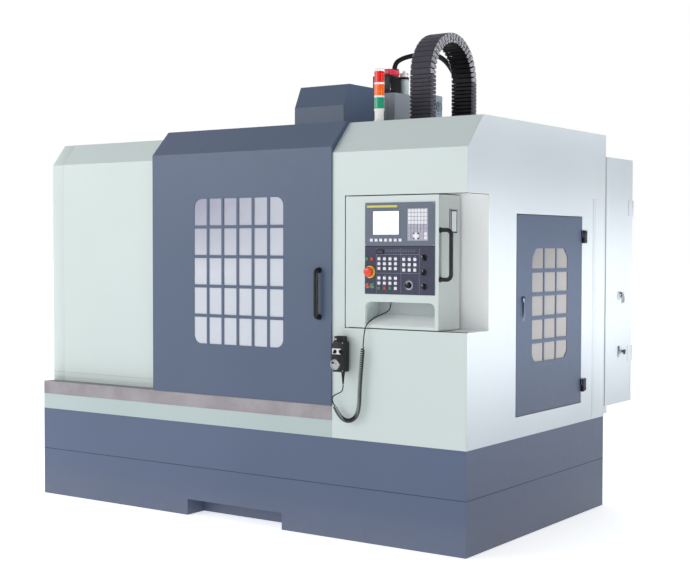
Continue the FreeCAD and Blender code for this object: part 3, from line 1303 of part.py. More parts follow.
def pendant():
    body = box(PENDANT_X0, PENDANT_X1, PENDANT_Y0, PENDANT_Y1, PENDANT_Z0, PENDANT_Z1)
    body = body.makeChamfer(5, edges_along(body, Y))
    x0, x1, y0, y1 = PENDANT_X0 + 8, PENDANT_X1 - 6, PENDANT_Y0 + 6, PENDANT_Y1 - 4
    crown = box(x0, x1, y0, y1, PENDANT_Z1 - 10, PENDANT_Z1 + 26)
    crown = crown.makeChamfer(6, edges_along(crown, Y))
    x, y, z = LEAD_ROUTE[0]
    relief = prism_z(polygon(x, y, 6, 8), z, PENDANT_Z0)
    magnet = box(PENDANT_X0 + 12, PENDANT_X1 - 12, PENDANT_Y1, 0, PENDANT_Z0 + 40, PENDANT_Z1 - 8)
    second = knob(SELECTORS[1], SELECT_Z, 10, FACE_Y + RUN, 14)
    bores = [
        rod(WHEEL_X, FACE_Y, WHEEL_Z, WHEEL_SHAFT + RUN, 20, Y),
        stem_bore(SELECTORS[0], SELECT_Z, FACE_Y),
    ]
    return cut(join([body, crown, relief, magnet, second]), bores)


def handwheel():
    """Dished wheel with a crank grip, on a shaft into the pendant."""
    y = FACE_Y - RUN
    disc = prism_y(polygon(WHEEL_X, WHEEL_Z, WHEEL_R, 2 * ROUND), y - 13, y)
    dish = prism_y(polygon(WHEEL_X, WHEEL_Z, WHEEL_R - 7, ROUND), y - 13, y - 11)
    grip = prism_y(polygon(WHEEL_X - WHEEL_R * 0.45, WHEEL_Z + WHEEL_R * 0.3, 4, 8), y - 22, y - 9)
    shaft = rod(WHEEL_X, y, WHEEL_Z, WHEEL_SHAFT, 14, Y)
    return join([disc.cut(dish), grip, shaft])


def axis_selector():
    return knob(SELECTORS[0], SELECT_Z, 10, FACE_Y, 14)


def main():
    os.makedirs("parts", exist_ok=True)
    door = side_door()
    pieces = {
        "base_lower": base_lower(),
        "base_upper": base_upper(),
        "bed": bed(),
        "levelling_feet": levelling_feet(),
        "column": join([column(), carrier_shelf(), z_motor_bracket(), junction_box(), magazine_beam()]),
        "chip_pan": chip_pan(),
        "front_apron": front_apron(),
        "door_rail": door_rail(),
        "left_panel": left_panel(),
        "left_end_panel": left_end_panel(),
        "rear_panel": rear_panel(),
        "right_front_panel": right_front_panel(),
        "panel_recess": panel_recess(),
        "right_end_panel": right_end_panel(),
        "roof_panel": roof_panel(),
        "main_door": main_door(),
        "door_window": door_window(),
        "door_handle": door_handle(),
        "side_hinges": side_hinges(),
        "side_door": join([door] + door_knuckles()),
        "side_window": side_window(),
        "side_latch": side_latch(),
        "operator_box": operator_box(),
        "box_handle": box_handle(),
        "display_unit": display_unit(),
        "operator_panel": operator_panel(),
        "keypads": keypads(),
        "estop_button": estop_button(),
        "start_button": push_button(*START),
        "stop_button": push_button(*STOP),
        "override_knob": override_knob(),
        "saddle": saddle(),
        "table": table(),
        "spindle_head": spindle_head(),
        "spindle": spindle(),
        "spindle_motor": spindle_motor(),
        "head_cover": head_cover(),
        "magazine_carriage": magazine_carriage(),
        "tool_drum": tool_drum(),
        "z_servo_motor": join([z_servo_motor(), z_motor_cap()]),
        "booster_cylinder": booster_cylinder(),
        "carrier_rear_leg": carrier_rear_leg(),
        "carrier_crown": carrier_crown(),
        "carrier_front_leg": carrier_front_leg(),
        "cable_bundle": cable_bundle(),
        "control_cabinet": control_cabinet(),
        "cabinet_door": cabinet_door(),
        "main_switch": main_switch(),
        "cabinet_lock": cabinet_lock(),
        "signal_mast": signal_mast(),
        "signal_lamps": signal_lamps(),
        "pendant": pendant(),
        "handwheel": handwheel(),
        "axis_selector": axis_selector(),
        "cord_lead": cord_lead(),
        "cord_curl": cord_curl(),
        "cord_tail": cord_tail(),
    }
    for name, (x, z) in KNOBS.items():
        pieces[name] = knob(x, z, 15, -UNIT_PROUD, 17)
    for name, shape in pieces.items():
        save(name, shape)
    print(len(pieces), "pieces")


main()
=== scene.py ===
import math

import bmesh
import bpy
from mathutils import Matrix, Vector


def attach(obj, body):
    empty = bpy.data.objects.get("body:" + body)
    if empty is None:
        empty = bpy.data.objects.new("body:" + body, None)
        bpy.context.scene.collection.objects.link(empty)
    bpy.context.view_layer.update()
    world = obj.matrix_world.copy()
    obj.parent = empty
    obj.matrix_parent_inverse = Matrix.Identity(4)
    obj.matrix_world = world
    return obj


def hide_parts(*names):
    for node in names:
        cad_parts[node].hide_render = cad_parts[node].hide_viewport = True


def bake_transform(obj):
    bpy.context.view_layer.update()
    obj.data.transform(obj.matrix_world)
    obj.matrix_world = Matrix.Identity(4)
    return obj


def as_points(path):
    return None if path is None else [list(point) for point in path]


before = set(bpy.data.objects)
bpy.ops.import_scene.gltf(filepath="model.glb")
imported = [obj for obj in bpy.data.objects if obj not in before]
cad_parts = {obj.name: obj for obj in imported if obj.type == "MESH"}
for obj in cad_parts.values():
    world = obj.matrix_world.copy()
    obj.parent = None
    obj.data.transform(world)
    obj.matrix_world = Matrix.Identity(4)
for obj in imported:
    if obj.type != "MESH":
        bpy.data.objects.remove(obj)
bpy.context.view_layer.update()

MIDDLE_Y = 925            # the frame's y 0, in millimetres back from the front plane
bpy.ops.object.select_all(action="DESELECT")


def at(x, y, z):
    """Point given in millimetres, y back from the front plane, as metres in the frame."""
    return Vector((x / 1000, y / 1000 - MIDDLE_Y / 1000, z / 1000))


# ---------------------------------------------------------------- camera
CAMERA_AT = (4.313, -6.095, 1.429)
CAMERA_TILT, CAMERA_ROLL, CAMERA_TURN = 88.04, 0.11, 34.79
LENS, SENSOR = 67.83, 36
bpy.ops.object.camera_add(location=CAMERA_AT)
camera = bpy.context.object
camera.matrix_world = (
    Matrix.Translation(CAMERA_AT)
    @ Matrix.Rotation(math.radians(CAMERA_TURN), 4, "Z")
    @ Matrix.Rotation(math.radians(CAMERA_TILT), 4, "X")
    @ Matrix.Rotation(math.radians(CAMERA_ROLL), 4, "Z")
)
camera.data.lens = LENS
camera.data.sensor_width = SENSOR
camera.data.dof.use_dof = False
bpy.context.scene.camera = camera


# ---------------------------------------------------------------- nodes
def linear(text):
    """Linear colour of an sRGB hex string."""
    shades = [int(text[i:i + 2], 16) / 255 for i in (0, 2, 4)]
    return [c / 12.92 if c <= 0.04045 else ((c + 0.055) / 1.055) ** 2.4 for c in shades] + [1.0]


def per(size):
    """Scale of a pattern whose grains are size millimetres across."""
    return 1000 / size


def feed(tree, node, inputs):
    """Gives a node's inputs a value, an sRGB hex string or the socket that feeds them."""
    for key, value in inputs.items():
        if isinstance(key, int):
            socket = node.inputs[key]
        else:
            socket = next(s for s in node.inputs if s.name == key and s.enabled)
        if isinstance(value, bpy.types.NodeSocket):
            tree.links.new(value, socket)
        else:
            socket.default_value = linear(value) if isinstance(value, str) else value


def add(tree, kind, inputs=None, output=None, **settings):
    """One shader node with its settings and links; returns the output that it is used for."""
    node = tree.nodes.new("ShaderNode" + kind)
    for key, value in settings.items():
        setattr(node, key, value)
    feed(tree, node, inputs or {})
    return node.outputs[output] if output else next(s for s in node.outputs if s.enabled)


def blank(name):
    """New material: its tree, its shader and the place on the object."""
    material = bpy.data.materials.new(name)
    material.use_nodes = True
    tree = material.node_tree
    return material, tree, tree.nodes["Principled BSDF"], add(tree, "TexCoord", output="Object")


def worn_edge(tree, radius):
    """Normal rounded over by a radius in metres, and 1 on the edges falling to 0 on the flats."""
    rounded = add(tree, "Bevel", {"Radius": radius}, samples=4)
    flat = add(tree, "NewGeometry", output="True Normal")
    same = add(tree, "VectorMath", {0: rounded, 1: flat}, operation="DOT_PRODUCT")
    return rounded, add(tree, "MapRange", {"Value": same, "From Min": 0.9, "From Max": 0.995,
                                           "To Min": 1.0, "To Max": 0.0})


# ---------------------------------------------------------------- materials
def powder_coat(name, colour, drift, rubbed, dust=None):
    """Powder-coated sheet steel: an even satin skin with faint orange peel, a slow drift of tone
    over each sheet, folds rubbed paler, and on the plinth dust that settles towards the floor."""
    material, tree, shader, place = blank(name)
    slow = add(tree, "TexNoise", {"Vector": place, "Scale": per(1300), "Detail": 3.0})
    scuff = add(tree, "TexNoise", {"Vector": place, "Scale": per(50), "Detail": 8.0, "Roughness": 0.75})
    # real orange peel is under 1 mm across, drawn at 2.4 mm so that it shows
    peel = add(tree, "TexNoise", {"Vector": place, "Scale": per(2.4), "Detail": 1.0})
    rounded, edge = worn_edge(tree, 0.0022)
    far = add(tree, "MapRange", {"Value": slow, "From Min": 0.35, "From Max": 0.65})
    base = add(tree, "Mix", {"Factor": far, "A": colour, "B": drift}, data_type="RGBA")
    wear = add(tree, "MapRange", {"Value": scuff, "From Min": 0.3, "From Max": 0.7, "To Min": 0.1,
                                  "To Max": 0.6})
    rub = add(tree, "Math", {0: edge, 1: wear}, operation="MULTIPLY")
    base = add(tree, "Mix", {"Factor": rub, "A": base, "B": rubbed}, data_type="RGBA")
    if dust:
        height = add(tree, "SeparateXYZ", {"Vector": place}, "Z")
        low = add(tree, "MapRange", {"Value": height, "From Min": 0.0, "From Max": 0.2, "To Min": 0.5,
                                     "To Max": 0.0})
        film = add(tree, "Math", {0: low, 1: scuff}, operation="MULTIPLY")
        base = add(tree, "Mix", {"Factor": film, "A": base, "B": dust}, data_type="RGBA")
    gloss = add(tree, "MapRange", {"Value": scuff, "From Min": 0.3, "From Max": 0.7, "To Min": 0.32,
                                   "To Max": 0.44})
    skin = add(tree, "Bump", {"Height": peel, "Normal": rounded, "Distance": 0.00003})
    feed(tree, shader, {"Base Color": base, "Roughness": gloss, "Normal": skin, "Coat Weight": 0.05,
                        "Coat Roughness": 0.25, "Specular IOR Level": 0.35})
    return material


def painted_casting(name, colour, shade):
    """Iron casting, filled and sprayed: a sandy skin under thick paint, worn pale at its corners."""
    material, tree, shader, place = blank(name)
    sand = add(tree, "TexNoise", {"Vector": place, "Scale": per(6), "Detail": 6.0, "Roughness": 0.65})
    cloud = add(tree, "TexNoise", {"Vector": place, "Scale": per(250), "Detail": 5.0})
    rounded, edge = worn_edge(tree, 0.003)
    base = add(tree, "Mix", {"Factor": cloud, "A": colour, "B": shade}, data_type="RGBA")
    rub = add(tree, "Math", {0: edge, 1: 0.45}, operation="MULTIPLY")
    base = add(tree, "Mix", {"Factor": rub, "A": base, "B": "A4A9AC"}, data_type="RGBA")
    gloss = add(tree, "MapRange", {"Value": sand, "To Min": 0.32, "To Max": 0.6})
    skin = add(tree, "Bump", {"Height": sand, "Normal": rounded, "Distance": 0.0003})
    feed(tree, shader, {"Base Color": base, "Roughness": gloss, "Normal": skin,
                        "Specular IOR Level": 0.35})
    return material


def bare_metal(name, colour, shade, gloss, grain, run=(1, 1, 1), depth=0.00002):
    """Ground, brushed or rolled metal: fine marks that run one way, cloudy patches of handling and
    oil, and bright worn corners."""
    material, tree, shader, place = blank(name)
    drawn = add(tree, "Mapping", {"Vector": place, "Scale": run})
    marks = add(tree, "TexNoise", {"Vector": drawn, "Scale": per(grain), "Detail": 4.0,
                                   "Roughness": 0.6})
    cloud = add(tree, "TexNoise", {"Vector": place, "Scale": per(150), "Detail": 4.0})
    rounded, edge = worn_edge(tree, 0.001)
    patch = add(tree, "MapRange", {"Value": cloud, "From Min": 0.4, "From Max": 0.6})
    base = add(tree, "Mix", {"Factor": patch, "A": colour, "B": shade}, data_type="RGBA")
    rub = add(tree, "Math", {0: edge, 1: 0.6}, operation="MULTIPLY")
    base = add(tree, "Mix", {"Factor": rub, "A": base, "B": "F2F2F4"}, data_type="RGBA")
    rough = add(tree, "MapRange", {"Value": marks, "From Min": 0.3, "From Max": 0.7,
                                   "To Min": gloss - 0.09, "To Max": gloss + 0.12})
    skin = add(tree, "Bump", {"Height": marks, "Normal": rounded, "Distance": depth})
    feed(tree, shader, {"Base Color": base, "Roughness": rough, "Normal": skin, "Metallic": 1.0})
    return material


def moulded(name, colour, shade, gloss, rubbed="9A9AA0", grain=1.2, depth=0.00004, coat=0.0, shine=0.5):
    """Injection-moulded ABS or nylon: spark-eroded grain, patches polished by hands, pale corners."""
    material, tree, shader, place = blank(name)
    leather = add(tree, "TexNoise", {"Vector": place, "Scale": per(grain), "Detail": 2.0})
    hands = add(tree, "TexNoise", {"Vector": place, "Scale": per(20), "Detail": 5.0})
    rounded, edge = worn_edge(tree, 0.0007)
    base = add(tree, "Mix", {"Factor": hands, "A": colour, "B": shade}, data_type="RGBA")
    rub = add(tree, "Math", {0: edge, 1: 0.2}, operation="MULTIPLY")
    base = add(tree, "Mix", {"Factor": rub, "A": base, "B": rubbed}, data_type="RGBA")
    rough = add(tree, "MapRange", {"Value": hands, "From Min": 0.3, "From Max": 0.7,
                                   "To Min": gloss - 0.08, "To Max": gloss + 0.1})
    skin = add(tree, "Bump", {"Height": leather, "Normal": rounded, "Distance": depth})
    feed(tree, shader, {"Base Color": base, "Roughness": rough, "Normal": skin, "Coat Weight": coat,
                        "Specular IOR Level": shine})
    return material


def rubber(name, colour, bloom, gloss):
    """Extruded rubber or PVC jacket: matt black with a grey bloom and scuffs along its length."""
    material, tree, shader, place = blank(name)
    dusty = add(tree, "TexNoise", {"Vector": place, "Scale": per(30), "Detail": 6.0, "Roughness": 0.7})
    fine = add(tree, "TexNoise", {"Vector": place, "Scale": per(0.8), "Detail": 2.0})
    film = add(tree, "MapRange", {"Value": dusty, "From Min": 0.4, "From Max": 0.7})
    base = add(tree, "Mix", {"Factor": film, "A": colour, "B": bloom}, data_type="RGBA")
    rough = add(tree, "MapRange", {"Value": dusty, "To Min": gloss - 0.12, "To Max": gloss + 0.12})
    skin = add(tree, "Bump", {"Height": fine, "Distance": 0.00004})
    feed(tree, shader, {"Base Color": base, "Roughness": rough, "Normal": skin,
                        "Specular IOR Level": 0.3})
    return material


def safety_pane(name, bright, dim, height_span, side_axis, side_span):
    """Milky polycarbonate: a glossy, faintly wavy skin with wiping smears, and painted shade: a dimmer
    tone that stands for the unlit far corner of the enclosure behind, over a span of height and one to
    the side."""
    material, tree, shader, place = blank(name)
    smear = add(tree, "TexNoise", {"Vector": place, "Scale": per(90), "Detail": 5.0, "Roughness": 0.6})
    wave = add(tree, "TexNoise", {"Vector": place, "Scale": per(140), "Detail": 1.0})
    height = add(tree, "SeparateXYZ", {"Vector": place}, "Z")
    side = add(tree, "SeparateXYZ", {"Vector": place}, side_axis)
    across = add(tree, "MapRange", {"Value": side, "From Min": side_span[0], "From Max": side_span[1]})
    up = add(tree, "MapRange", {"Value": height, "From Min": height_span[0],
                                "From Max": height_span[1]})
    # painted shade: strongest where the pane is high and towards the given side
    both = add(tree, "Math", {0: across, 1: up}, operation="MULTIPLY")
    # random smears plus the painted shade, mixing the pane towards its dim colour
    smears_and_painted_shade = add(tree, "Math", {0: smear, 1: 0.18, 2: both}, operation="MULTIPLY_ADD")
    base = add(tree, "Mix", {"Factor": smears_and_painted_shade, "A": bright, "B": dim}, data_type="RGBA")
    rough = add(tree, "MapRange", {"Value": smear, "To Min": 0.1, "To Max": 0.32})
    skin = add(tree, "Bump", {"Height": wave, "Distance": 0.0003})
    feed(tree, shader, {"Base Color": base, "Roughness": rough, "Normal": skin, "Coat Weight": 0.5,
                        "Coat Roughness": 0.08})
    return material


def lit_lens(name, colour, shade, glow):
    """Tinted polycarbonate lens or lit screen: glossy, with some light coming from inside."""
    material, tree, shader, place = blank(name)
    core = add(tree, "TexNoise", {"Vector": place, "Scale": per(18), "Detail": 2.0})
    tint = add(tree, "Mix", {"Factor": core, "A": colour, "B": shade}, data_type="RGBA")
    ripple = add(tree, "TexNoise", {"Vector": place, "Scale": per(4), "Detail": 1.0})
    rough = add(tree, "MapRange", {"Value": core, "To Min": 0.1, "To Max": 0.25})
    skin = add(tree, "Bump", {"Height": ripple, "Distance": 0.00006})
    feed(tree, shader, {"Base Color": tint, "Roughness": rough, "Normal": skin, "Emission Color": tint,
                        "Emission Strength": glow, "Coat Weight": 0.6})
    return material


BLUE = powder_coat("blue_powder_coat", "56647C", "515F77", "7A869C")
PLINTH = powder_coat("blue_plinth_coat", "5A6884", "55627E", "818CA3", "84868C")
PALE = powder_coat("pale_green_powder_coat", "D3DEDB", "CDD9D6", "EEF4F3")
COOL = powder_coat("cool_white_powder_coat", "DCE4EA", "D5DEE5", "F4F8FB")
APRON = powder_coat("grey_green_powder_coat", "BAC8C7", "B2C1C0", "DCE6E5")
CAST = painted_casting("grey_casting_paint", "959BA3", "8B9199")
JUNCTION = painted_casting("blue_grey_casting_paint", "A2B2C2", "96A6B6")
BOOSTER = painted_casting("grey_green_casting_paint", "BCC9CA", "B0BDBE")
RAIL = bare_metal("brushed_steel", "9E9A9E", "938F93", 0.5, 1.6, (0.05, 1, 1))
IRON = bare_metal("machined_iron", "8F9092", "7C7D80", 0.42, 3, (0.1, 1, 1))
GROUND = bare_metal("ground_steel", "B4B6B9", "A2A4A8", 0.28, 1, (1, 1, 0.1))
PAN = bare_metal("galvanised_sheet", "9FA3A6", "878C90", 0.45, 30, depth=0.00005)
CHROME = bare_metal("chrome_plate", "A9ABB0", "989BA1", 0.16, 4, depth=0.000005)
# the second, dimmer colour of each pane is painted shade for the unlit corner of the enclosure behind it
PANE = safety_pane("milky_polycarbonate", "D2D7E0", "8A8AA2", (1.3, 1.72), "X", (0.75, -0.25))
SIDE_PANE = safety_pane("milky_polycarbonate_side", "A29F9D", "8F8B8C", (0.9, 1.4), "Y", (0.1, -0.3))
BLACK = moulded("black_grained_abs", "0E0F11", "151618", 0.4, "3A3C40", shine=0.3)
DISPLAY = moulded("grey_display_moulding", "6F7684", "687080", 0.48, shine=0.25)
PANEL = moulded("violet_grey_panel_film", "484A5E", "434558", 0.5, "62647A", 0.8, 0.00002, shine=0.2)
KEY = moulded("white_key_caps", "F2F2F5", "E6E6EC", 0.35, "FFFFFF")
KEY_GREY = moulded("lilac_grey_keys", "BDBCCB", "B2B1C2", 0.38, "D0D0DC")
KEY_BED = moulded("pale_key_surround", "B2B1BE", "A9A8B6", 0.4, "D8D8E0")
KEY_DARK = moulded("dark_grey_keys", "3A3C46", "30323A", 0.42, "70727C")
MARK = moulded("pale_panel_print", "9C9FB2", "9093A6", 0.5, "AEB0C0")
RED = moulded("red_moulding", "D2281E", "BC2018", 0.3, "EE7A68", 2, 0.00002, 0.4)
MUSHROOM = moulded("red_mushroom_cap", "E63A20", "D23018", 0.26, "F48A6A", 2, 0.00002, 0.5)
YELLOW = moulded("yellow_moulding", "F2CE2A", "E8C222", 0.36, "F8E494", 2, 0.00002)
STRIP_FILM = moulded("lemon_strip_film", "DAD45E", "CEC852", 0.4, "EEEA9A", 2, 0.00002)
GREEN = moulded("green_moulding", "1E8C50", "187C46", 0.32, "5EB888", 2, 0.00002, 0.4)
LAMPS = (
    lit_lens("green_lamp_lens", "009E78", "008A68", 0.12),
    lit_lens("amber_lamp_lens", "F86A04", "EA5C00", 0.12),
    lit_lens("red_lamp_lens", "E01408", "CA0E06", 0.12),
)
RING = moulded("white_lamp_rings", "F0F0EC", "E4E4E0", 0.4, "FFFFFF")
MOTOR = moulded("black_motor_enamel", "0D0E10", "15171A", 0.34, "3C3E42", 4, 0.00008, 0.1, 0.35)
CAP_RED = moulded("crimson_encoder_cover", "E42C44", "CC243A", 0.34, "E88890", 3, 0.00003, 0.3)
NYLON = moulded("violet_black_nylon", "4C4953", "43404A", 0.45, "7A7782", 3, 0.00008, shine=0.25)
NYLON_SIDE = moulded("grey_nylon", "9C9BA1", "8A898F", 0.4, "BCBBC2", 3, 0.00008, shine=0.3)
NYLON_LEG = moulded("dark_grey_nylon", "55525C", "4A4751", 0.42, "8A8792", 3, 0.00008, shine=0.3)
NYLON_INNER = moulded("black_nylon", "121116", "19181D", 0.5, "38373E", 3, 0.00008, shine=0.25)
HOSE = rubber("black_hose_rubber", "0D0D0F", "17171A", 0.55)
CORD = rubber("black_cord_jacket", "0C0C0E", "151618", 0.5)
SEAL = rubber("black_sponge_seal", "1C1E22", "26292E", 0.7)
GREY_BLUE = bare_metal("blued_grey_zinc", "6C7890", "5F6B82", 0.45, 3, depth=0.00001)
# Painted light: pure white for the panel recess and the tray floor, whiter than their paint, standing in
# for the strong light that falls on them
WHITE_PAINTED_LIGHT = powder_coat("white_coat_painted_light", "FBFCFC", "F6F8F8", "FFFFFF")
# Painted shade: a darker grey for the operator box's right side, which stands in shade beside the bright
# end panel
PAINTED_SHADE_GREY = powder_coat("grey_coat_painted_shade", "A2A9A7", "9CA3A1", "C2C8C6")
LINER = powder_coat("grey_tray_back", "BEC5C5", "B6BDBD", "D8DEDE")
SCREEN = lit_lens("lit_white_screen", "F8FAFE", "EEF2F8", 0.4)

CAD_FINISH = {
    PLINTH: ["base_lower", "base_upper"],
    PALE: ["left_panel", "left_end_panel", "rear_panel", "right_front_panel", "roof_panel",
           "operator_box"],
    # the recess is the pale enclosure paint; its white finish here is painted light
    APRON: ["front_apron"], WHITE_PAINTED_LIGHT: ["panel_recess"],
    COOL: ["right_end_panel", "control_cabinet", "cabinet_door"],
    BLUE: ["main_door", "side_door", "head_cover"],
    CAST: ["bed", "column", "spindle_head", "magazine_carriage"],
    IRON: ["saddle", "table"],
    GROUND: ["levelling_feet", "spindle", "tool_drum"],
    RAIL: ["door_rail"], PAN: ["chip_pan"], PANE: ["door_window"], SIDE_PANE: ["side_window"],
    MOTOR: ["spindle_motor"], DISPLAY: ["display_unit"], PANEL: ["operator_panel"],
}
for finish, node_names in CAD_FINISH.items():
    for node_name in node_names:
        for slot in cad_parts[node_name].material_slots:
            slot.material = finish


# ---------------------------------------------------------------- modelling
FACING = {
    "front": Matrix.Rotation(math.radians(90), 4, "X"),
    "back": Matrix.Rotation(math.radians(-90), 4, "X"),
    "right": Matrix(((0, 0, 1, 0), (1, 0, 0, 0), (0, 1, 0, 0), (0, 0, 0, 1))),
    "left": Matrix(((0, 0, -1, 0), (-1, 0, 0, 0), (0, 1, 0, 0), (0, 0, 0, 1))),
    "up": Matrix.Identity(4),
    "down": Matrix.Rotation(math.radians(180), 4, "X"),
}


def only(*objects):
    """Selects just these objects, the first of them active."""
    bpy.ops.object.select_all(action="DESELECT")
    for obj in objects:
        obj.select_set(True)
    bpy.context.view_layer.objects.active = objects[0]
    return objects[0]


def settle(obj):
    """Applies a piece's own place, turn and size to its mesh."""
    only(obj)
    bpy.ops.object.transform_apply(location=True, rotation=True, scale=True)
    return obj


def pick(obj, mode, test):
    """Opens edit mode with just the corners, edges or faces that pass the test selected."""
    only(obj)
    bpy.ops.object.mode_set(mode="EDIT")
    bpy.ops.mesh.select_mode(type=mode)
    bpy.ops.mesh.select_all(action="DESELECT")
    mesh = bmesh.from_edit_mesh(obj.data)
    for item in {"VERT": mesh.verts, "EDGE": mesh.edges, "FACE": mesh.faces}[mode]:
        if test(item):
            item.select_set(True)
    mesh.select_flush_mode()
    bmesh.update_edit_mesh(obj.data)


def close_edit():
    bpy.ops.object.mode_set(mode="OBJECT")


def round_off(obj, width, segments=2, angle=30):
    """Bevels every edge sharper than the angle, by a width in millimetres."""
    only(obj)
    bpy.ops.object.modifier_add(type="BEVEL")
    tool = obj.modifiers[-1]
    tool.width = width / 1000
    tool.segments = segments
    tool.angle_limit = math.radians(angle)
    bpy.ops.object.modifier_apply(modifier=tool.name)
    return obj


def slab(name, x, y, z, finish, rounding=0.0, segments=2):
    """Block between limits in millimetres, its edges rounded off."""
    low, high = at(x[0], y[0], z[0]), at(x[1], y[1], z[1])
    bpy.ops.mesh.primitive_cube_add(size=1, location=(low + high) / 2)
    obj = bpy.context.object
    obj.name = name
    obj.scale = high - low
    settle(obj)
    obj.data.materials.append(finish)
    return round_off(obj, rounding, segments) if rounding else obj


def raise_face(obj, toward, margin, lift):
    """Insets the flat face that looks along a direction by a margin, and lifts or sinks the middle."""
    way = Vector(toward)
    reach = max(v.co.dot(way) for v in obj.data.vertices)
    pick(obj, "FACE", lambda f: f.normal.dot(way) > 0.99
         and f.calc_center_median().dot(way) > reach - 1e-5)
    bpy.ops.mesh.inset(thickness=margin / 1000)
    bpy.ops.mesh.extrude_region_move(TRANSFORM_OT_translate={"value": way * lift / 1000})
    close_edit()
    return obj


def taper(obj, toward, shares, centre):
    """Resizes the face that looks along a direction about a point, by a share along each axis."""
    way = Vector(toward)
    pick(obj, "FACE", lambda f: f.normal.dot(way) > 0.9)
    bpy.ops.transform.resize(value=shares, center_override=centre)
    close_edit()
    return obj


def bevel_edges(obj, test, width, segments):
    """Bevels just the edges that pass the test, by a width in millimetres."""
    pick(obj, "EDGE", test)
    bpy.ops.mesh.bevel(offset=width / 1000, segments=segments)
    close_edit()
    return obj


def turned(name, profile, finish, sides=36):
    """Round piece along its own Z: a disc extruded and resized through (radius, height) steps."""
    radius, height = profile[0]
    bpy.ops.mesh.primitive_circle_add(vertices=sides, radius=radius / 1000, fill_type="NGON",
                                      location=(0, 0, height / 1000))
    obj = bpy.context.object
    obj.name = name
    settle(obj)
    bpy.ops.object.mode_set(mode="EDIT")
    bpy.ops.mesh.select_mode(type="FACE")
    bpy.ops.mesh.select_all(action="SELECT")
    for (r0, h0), (r1, h1) in zip(profile, profile[1:]):
        bpy.ops.mesh.extrude_region_move(TRANSFORM_OT_translate={"value": (0, 0, (h1 - h0) / 1000)})
        bpy.ops.transform.resize(value=(r1 / r0, r1 / r0, 1), center_override=(0, 0, h1 / 1000))
    bpy.ops.mesh.select_all(action="SELECT")
    bpy.ops.mesh.normals_make_consistent(inside=False)
    close_edit()
    obj.data.materials.append(finish)
    return obj


def flute(obj, low, high, depth):
    """Draws every second corner of a round side in towards the axis by a share, between two heights."""
    corners = obj.data.vertices
    radius = max(v.co.xy.length for v in corners)
    first = corners[0].co.z
    sides = len([v for v in corners if abs(v.co.z - first) < 1e-7 and v.co.xy.length > radius / 3])
    step = 2 * math.pi / sides

    def in_flute(v):
        turn = round(math.atan2(v.co.y, v.co.x) / step)
        return turn % 2 == 0 and low / 1000 < v.co.z < high / 1000 and v.co.xy.length > 0.6 * radius

    pick(obj, "VERT", in_flute)
    bpy.ops.transform.resize(value=(1 - depth, 1 - depth, 1), center_override=(0, 0, 0))
    close_edit()
    return obj


def place(obj, facing, x, y, z, spin=0.0):
    """Turns a piece that was modelled along Z to face a side, and sets it at a point."""
    obj.matrix_world = (Matrix.Translation(at(x, y, z)) @ FACING[facing]
                        @ Matrix.Rotation(math.radians(spin), 4, "Z"))
    return settle(obj)


def moved(*steps):
    """Matrices that shift a copy by steps in millimetres."""
    return [Matrix.Translation(Vector(step) / 1000) for step in steps]


def join(name, *objects):
    """Makes one named object of several."""
    obj = only(*objects)
    if len(objects) > 1:
        bpy.ops.object.join()
    obj.name = name
    return obj


def copies(obj, name, matrices):
    """The piece at each of the places, one mesh for each copy, joined as one object."""
    made = []
    for matrix in matrices:
        copy = obj.copy()
        copy.data = obj.data.copy()
        copy.data.transform(matrix)
        bpy.context.collection.objects.link(copy)
        made.append(copy)
    bpy.data.objects.remove(obj)
    return join(name, *made)


def smooth(obj, angle=35):
    only(obj)
    bpy.ops.object.shade_smooth_by_angle(angle=math.radians(angle))
    return obj


def fit(obj, body, slot, *nodes):
    """Gives a finished piece its shading and body, and hides the nodes it stands for; its slot is not
    used.
    """
    smooth(obj)
    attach(obj, body)
    if nodes:
        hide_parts(*nodes)


def bent_rod(name, points, corner, diameter, finish):
    """Round bar along straight legs: a path extruded corner by corner, rounded and given thickness."""
    bpy.ops.mesh.primitive_plane_add(size=0.01, location=at(*points[0]))
    obj = bpy.context.object
    settle(obj)
    bpy.ops.object.mode_set(mode="EDIT")
    bpy.ops.mesh.select_all(action="SELECT")
    bpy.ops.mesh.select_mode(type="VERT")
    bpy.ops.mesh.merge(type="CENTER")
    for a, b in zip(points, points[1:]):
        bpy.ops.mesh.extrude_vertices_move(TRANSFORM_OT_translate={"value": at(*b) - at(*a)})
    close_edit()
    ends = (at(*points[0]), at(*points[-1]))
    pick(obj, "VERT", lambda v: min((v.co - end).length for end in ends) > 1e-5)
    bpy.ops.mesh.bevel(offset=corner / 1000, segments=8, affect="VERTICES")
    close_edit()
    only(obj)
    bpy.ops.object.convert(target="CURVE")
    obj = bpy.context.object
    obj.name = name
    obj.data.bevel_depth = diameter / 2000
    obj.data.bevel_resolution = 5
    obj.data.use_fill_caps = True
    obj.data.materials.clear()
    obj.data.materials.append(finish)
    bpy.ops.object.convert(target="MESH")
    return bpy.context.object


def bow_handle(name, facing, low, out, height, corner, diameter, foot):
    """Bow handle: a round bar bent out from its lower foot, up and back in to its upper one."""
    near, up = Vector(low), Vector((0, 0, height))
    far = near + Vector(out)
    bow = bent_rod(name, [near, far, far + up, near + up], corner, diameter, BLACK)
    feet = [place(turned("foot", foot, BLACK, 30), facing, *spot) for spot in (near, near + up)]
    return join(name, bow, *feet)


def screws(name, head, facing, points, finish, body, slot):
    """Cap screws: a turned head with a round sunk socket, modelled once and copied."""
    x, y, z = points[0]
    one = turned(name, [(head, 0), (head, head * 0.5), (head * 0.85, head * 0.7),
                        (head * 0.5, head * 0.7), (head * 0.46, head * 0.3)], finish, 18)
    place(one, facing, x, y, z)
    fit(copies(one, name, moved(*[(a - x, b - y, c - z) for a, b, c in points])), body, slot)


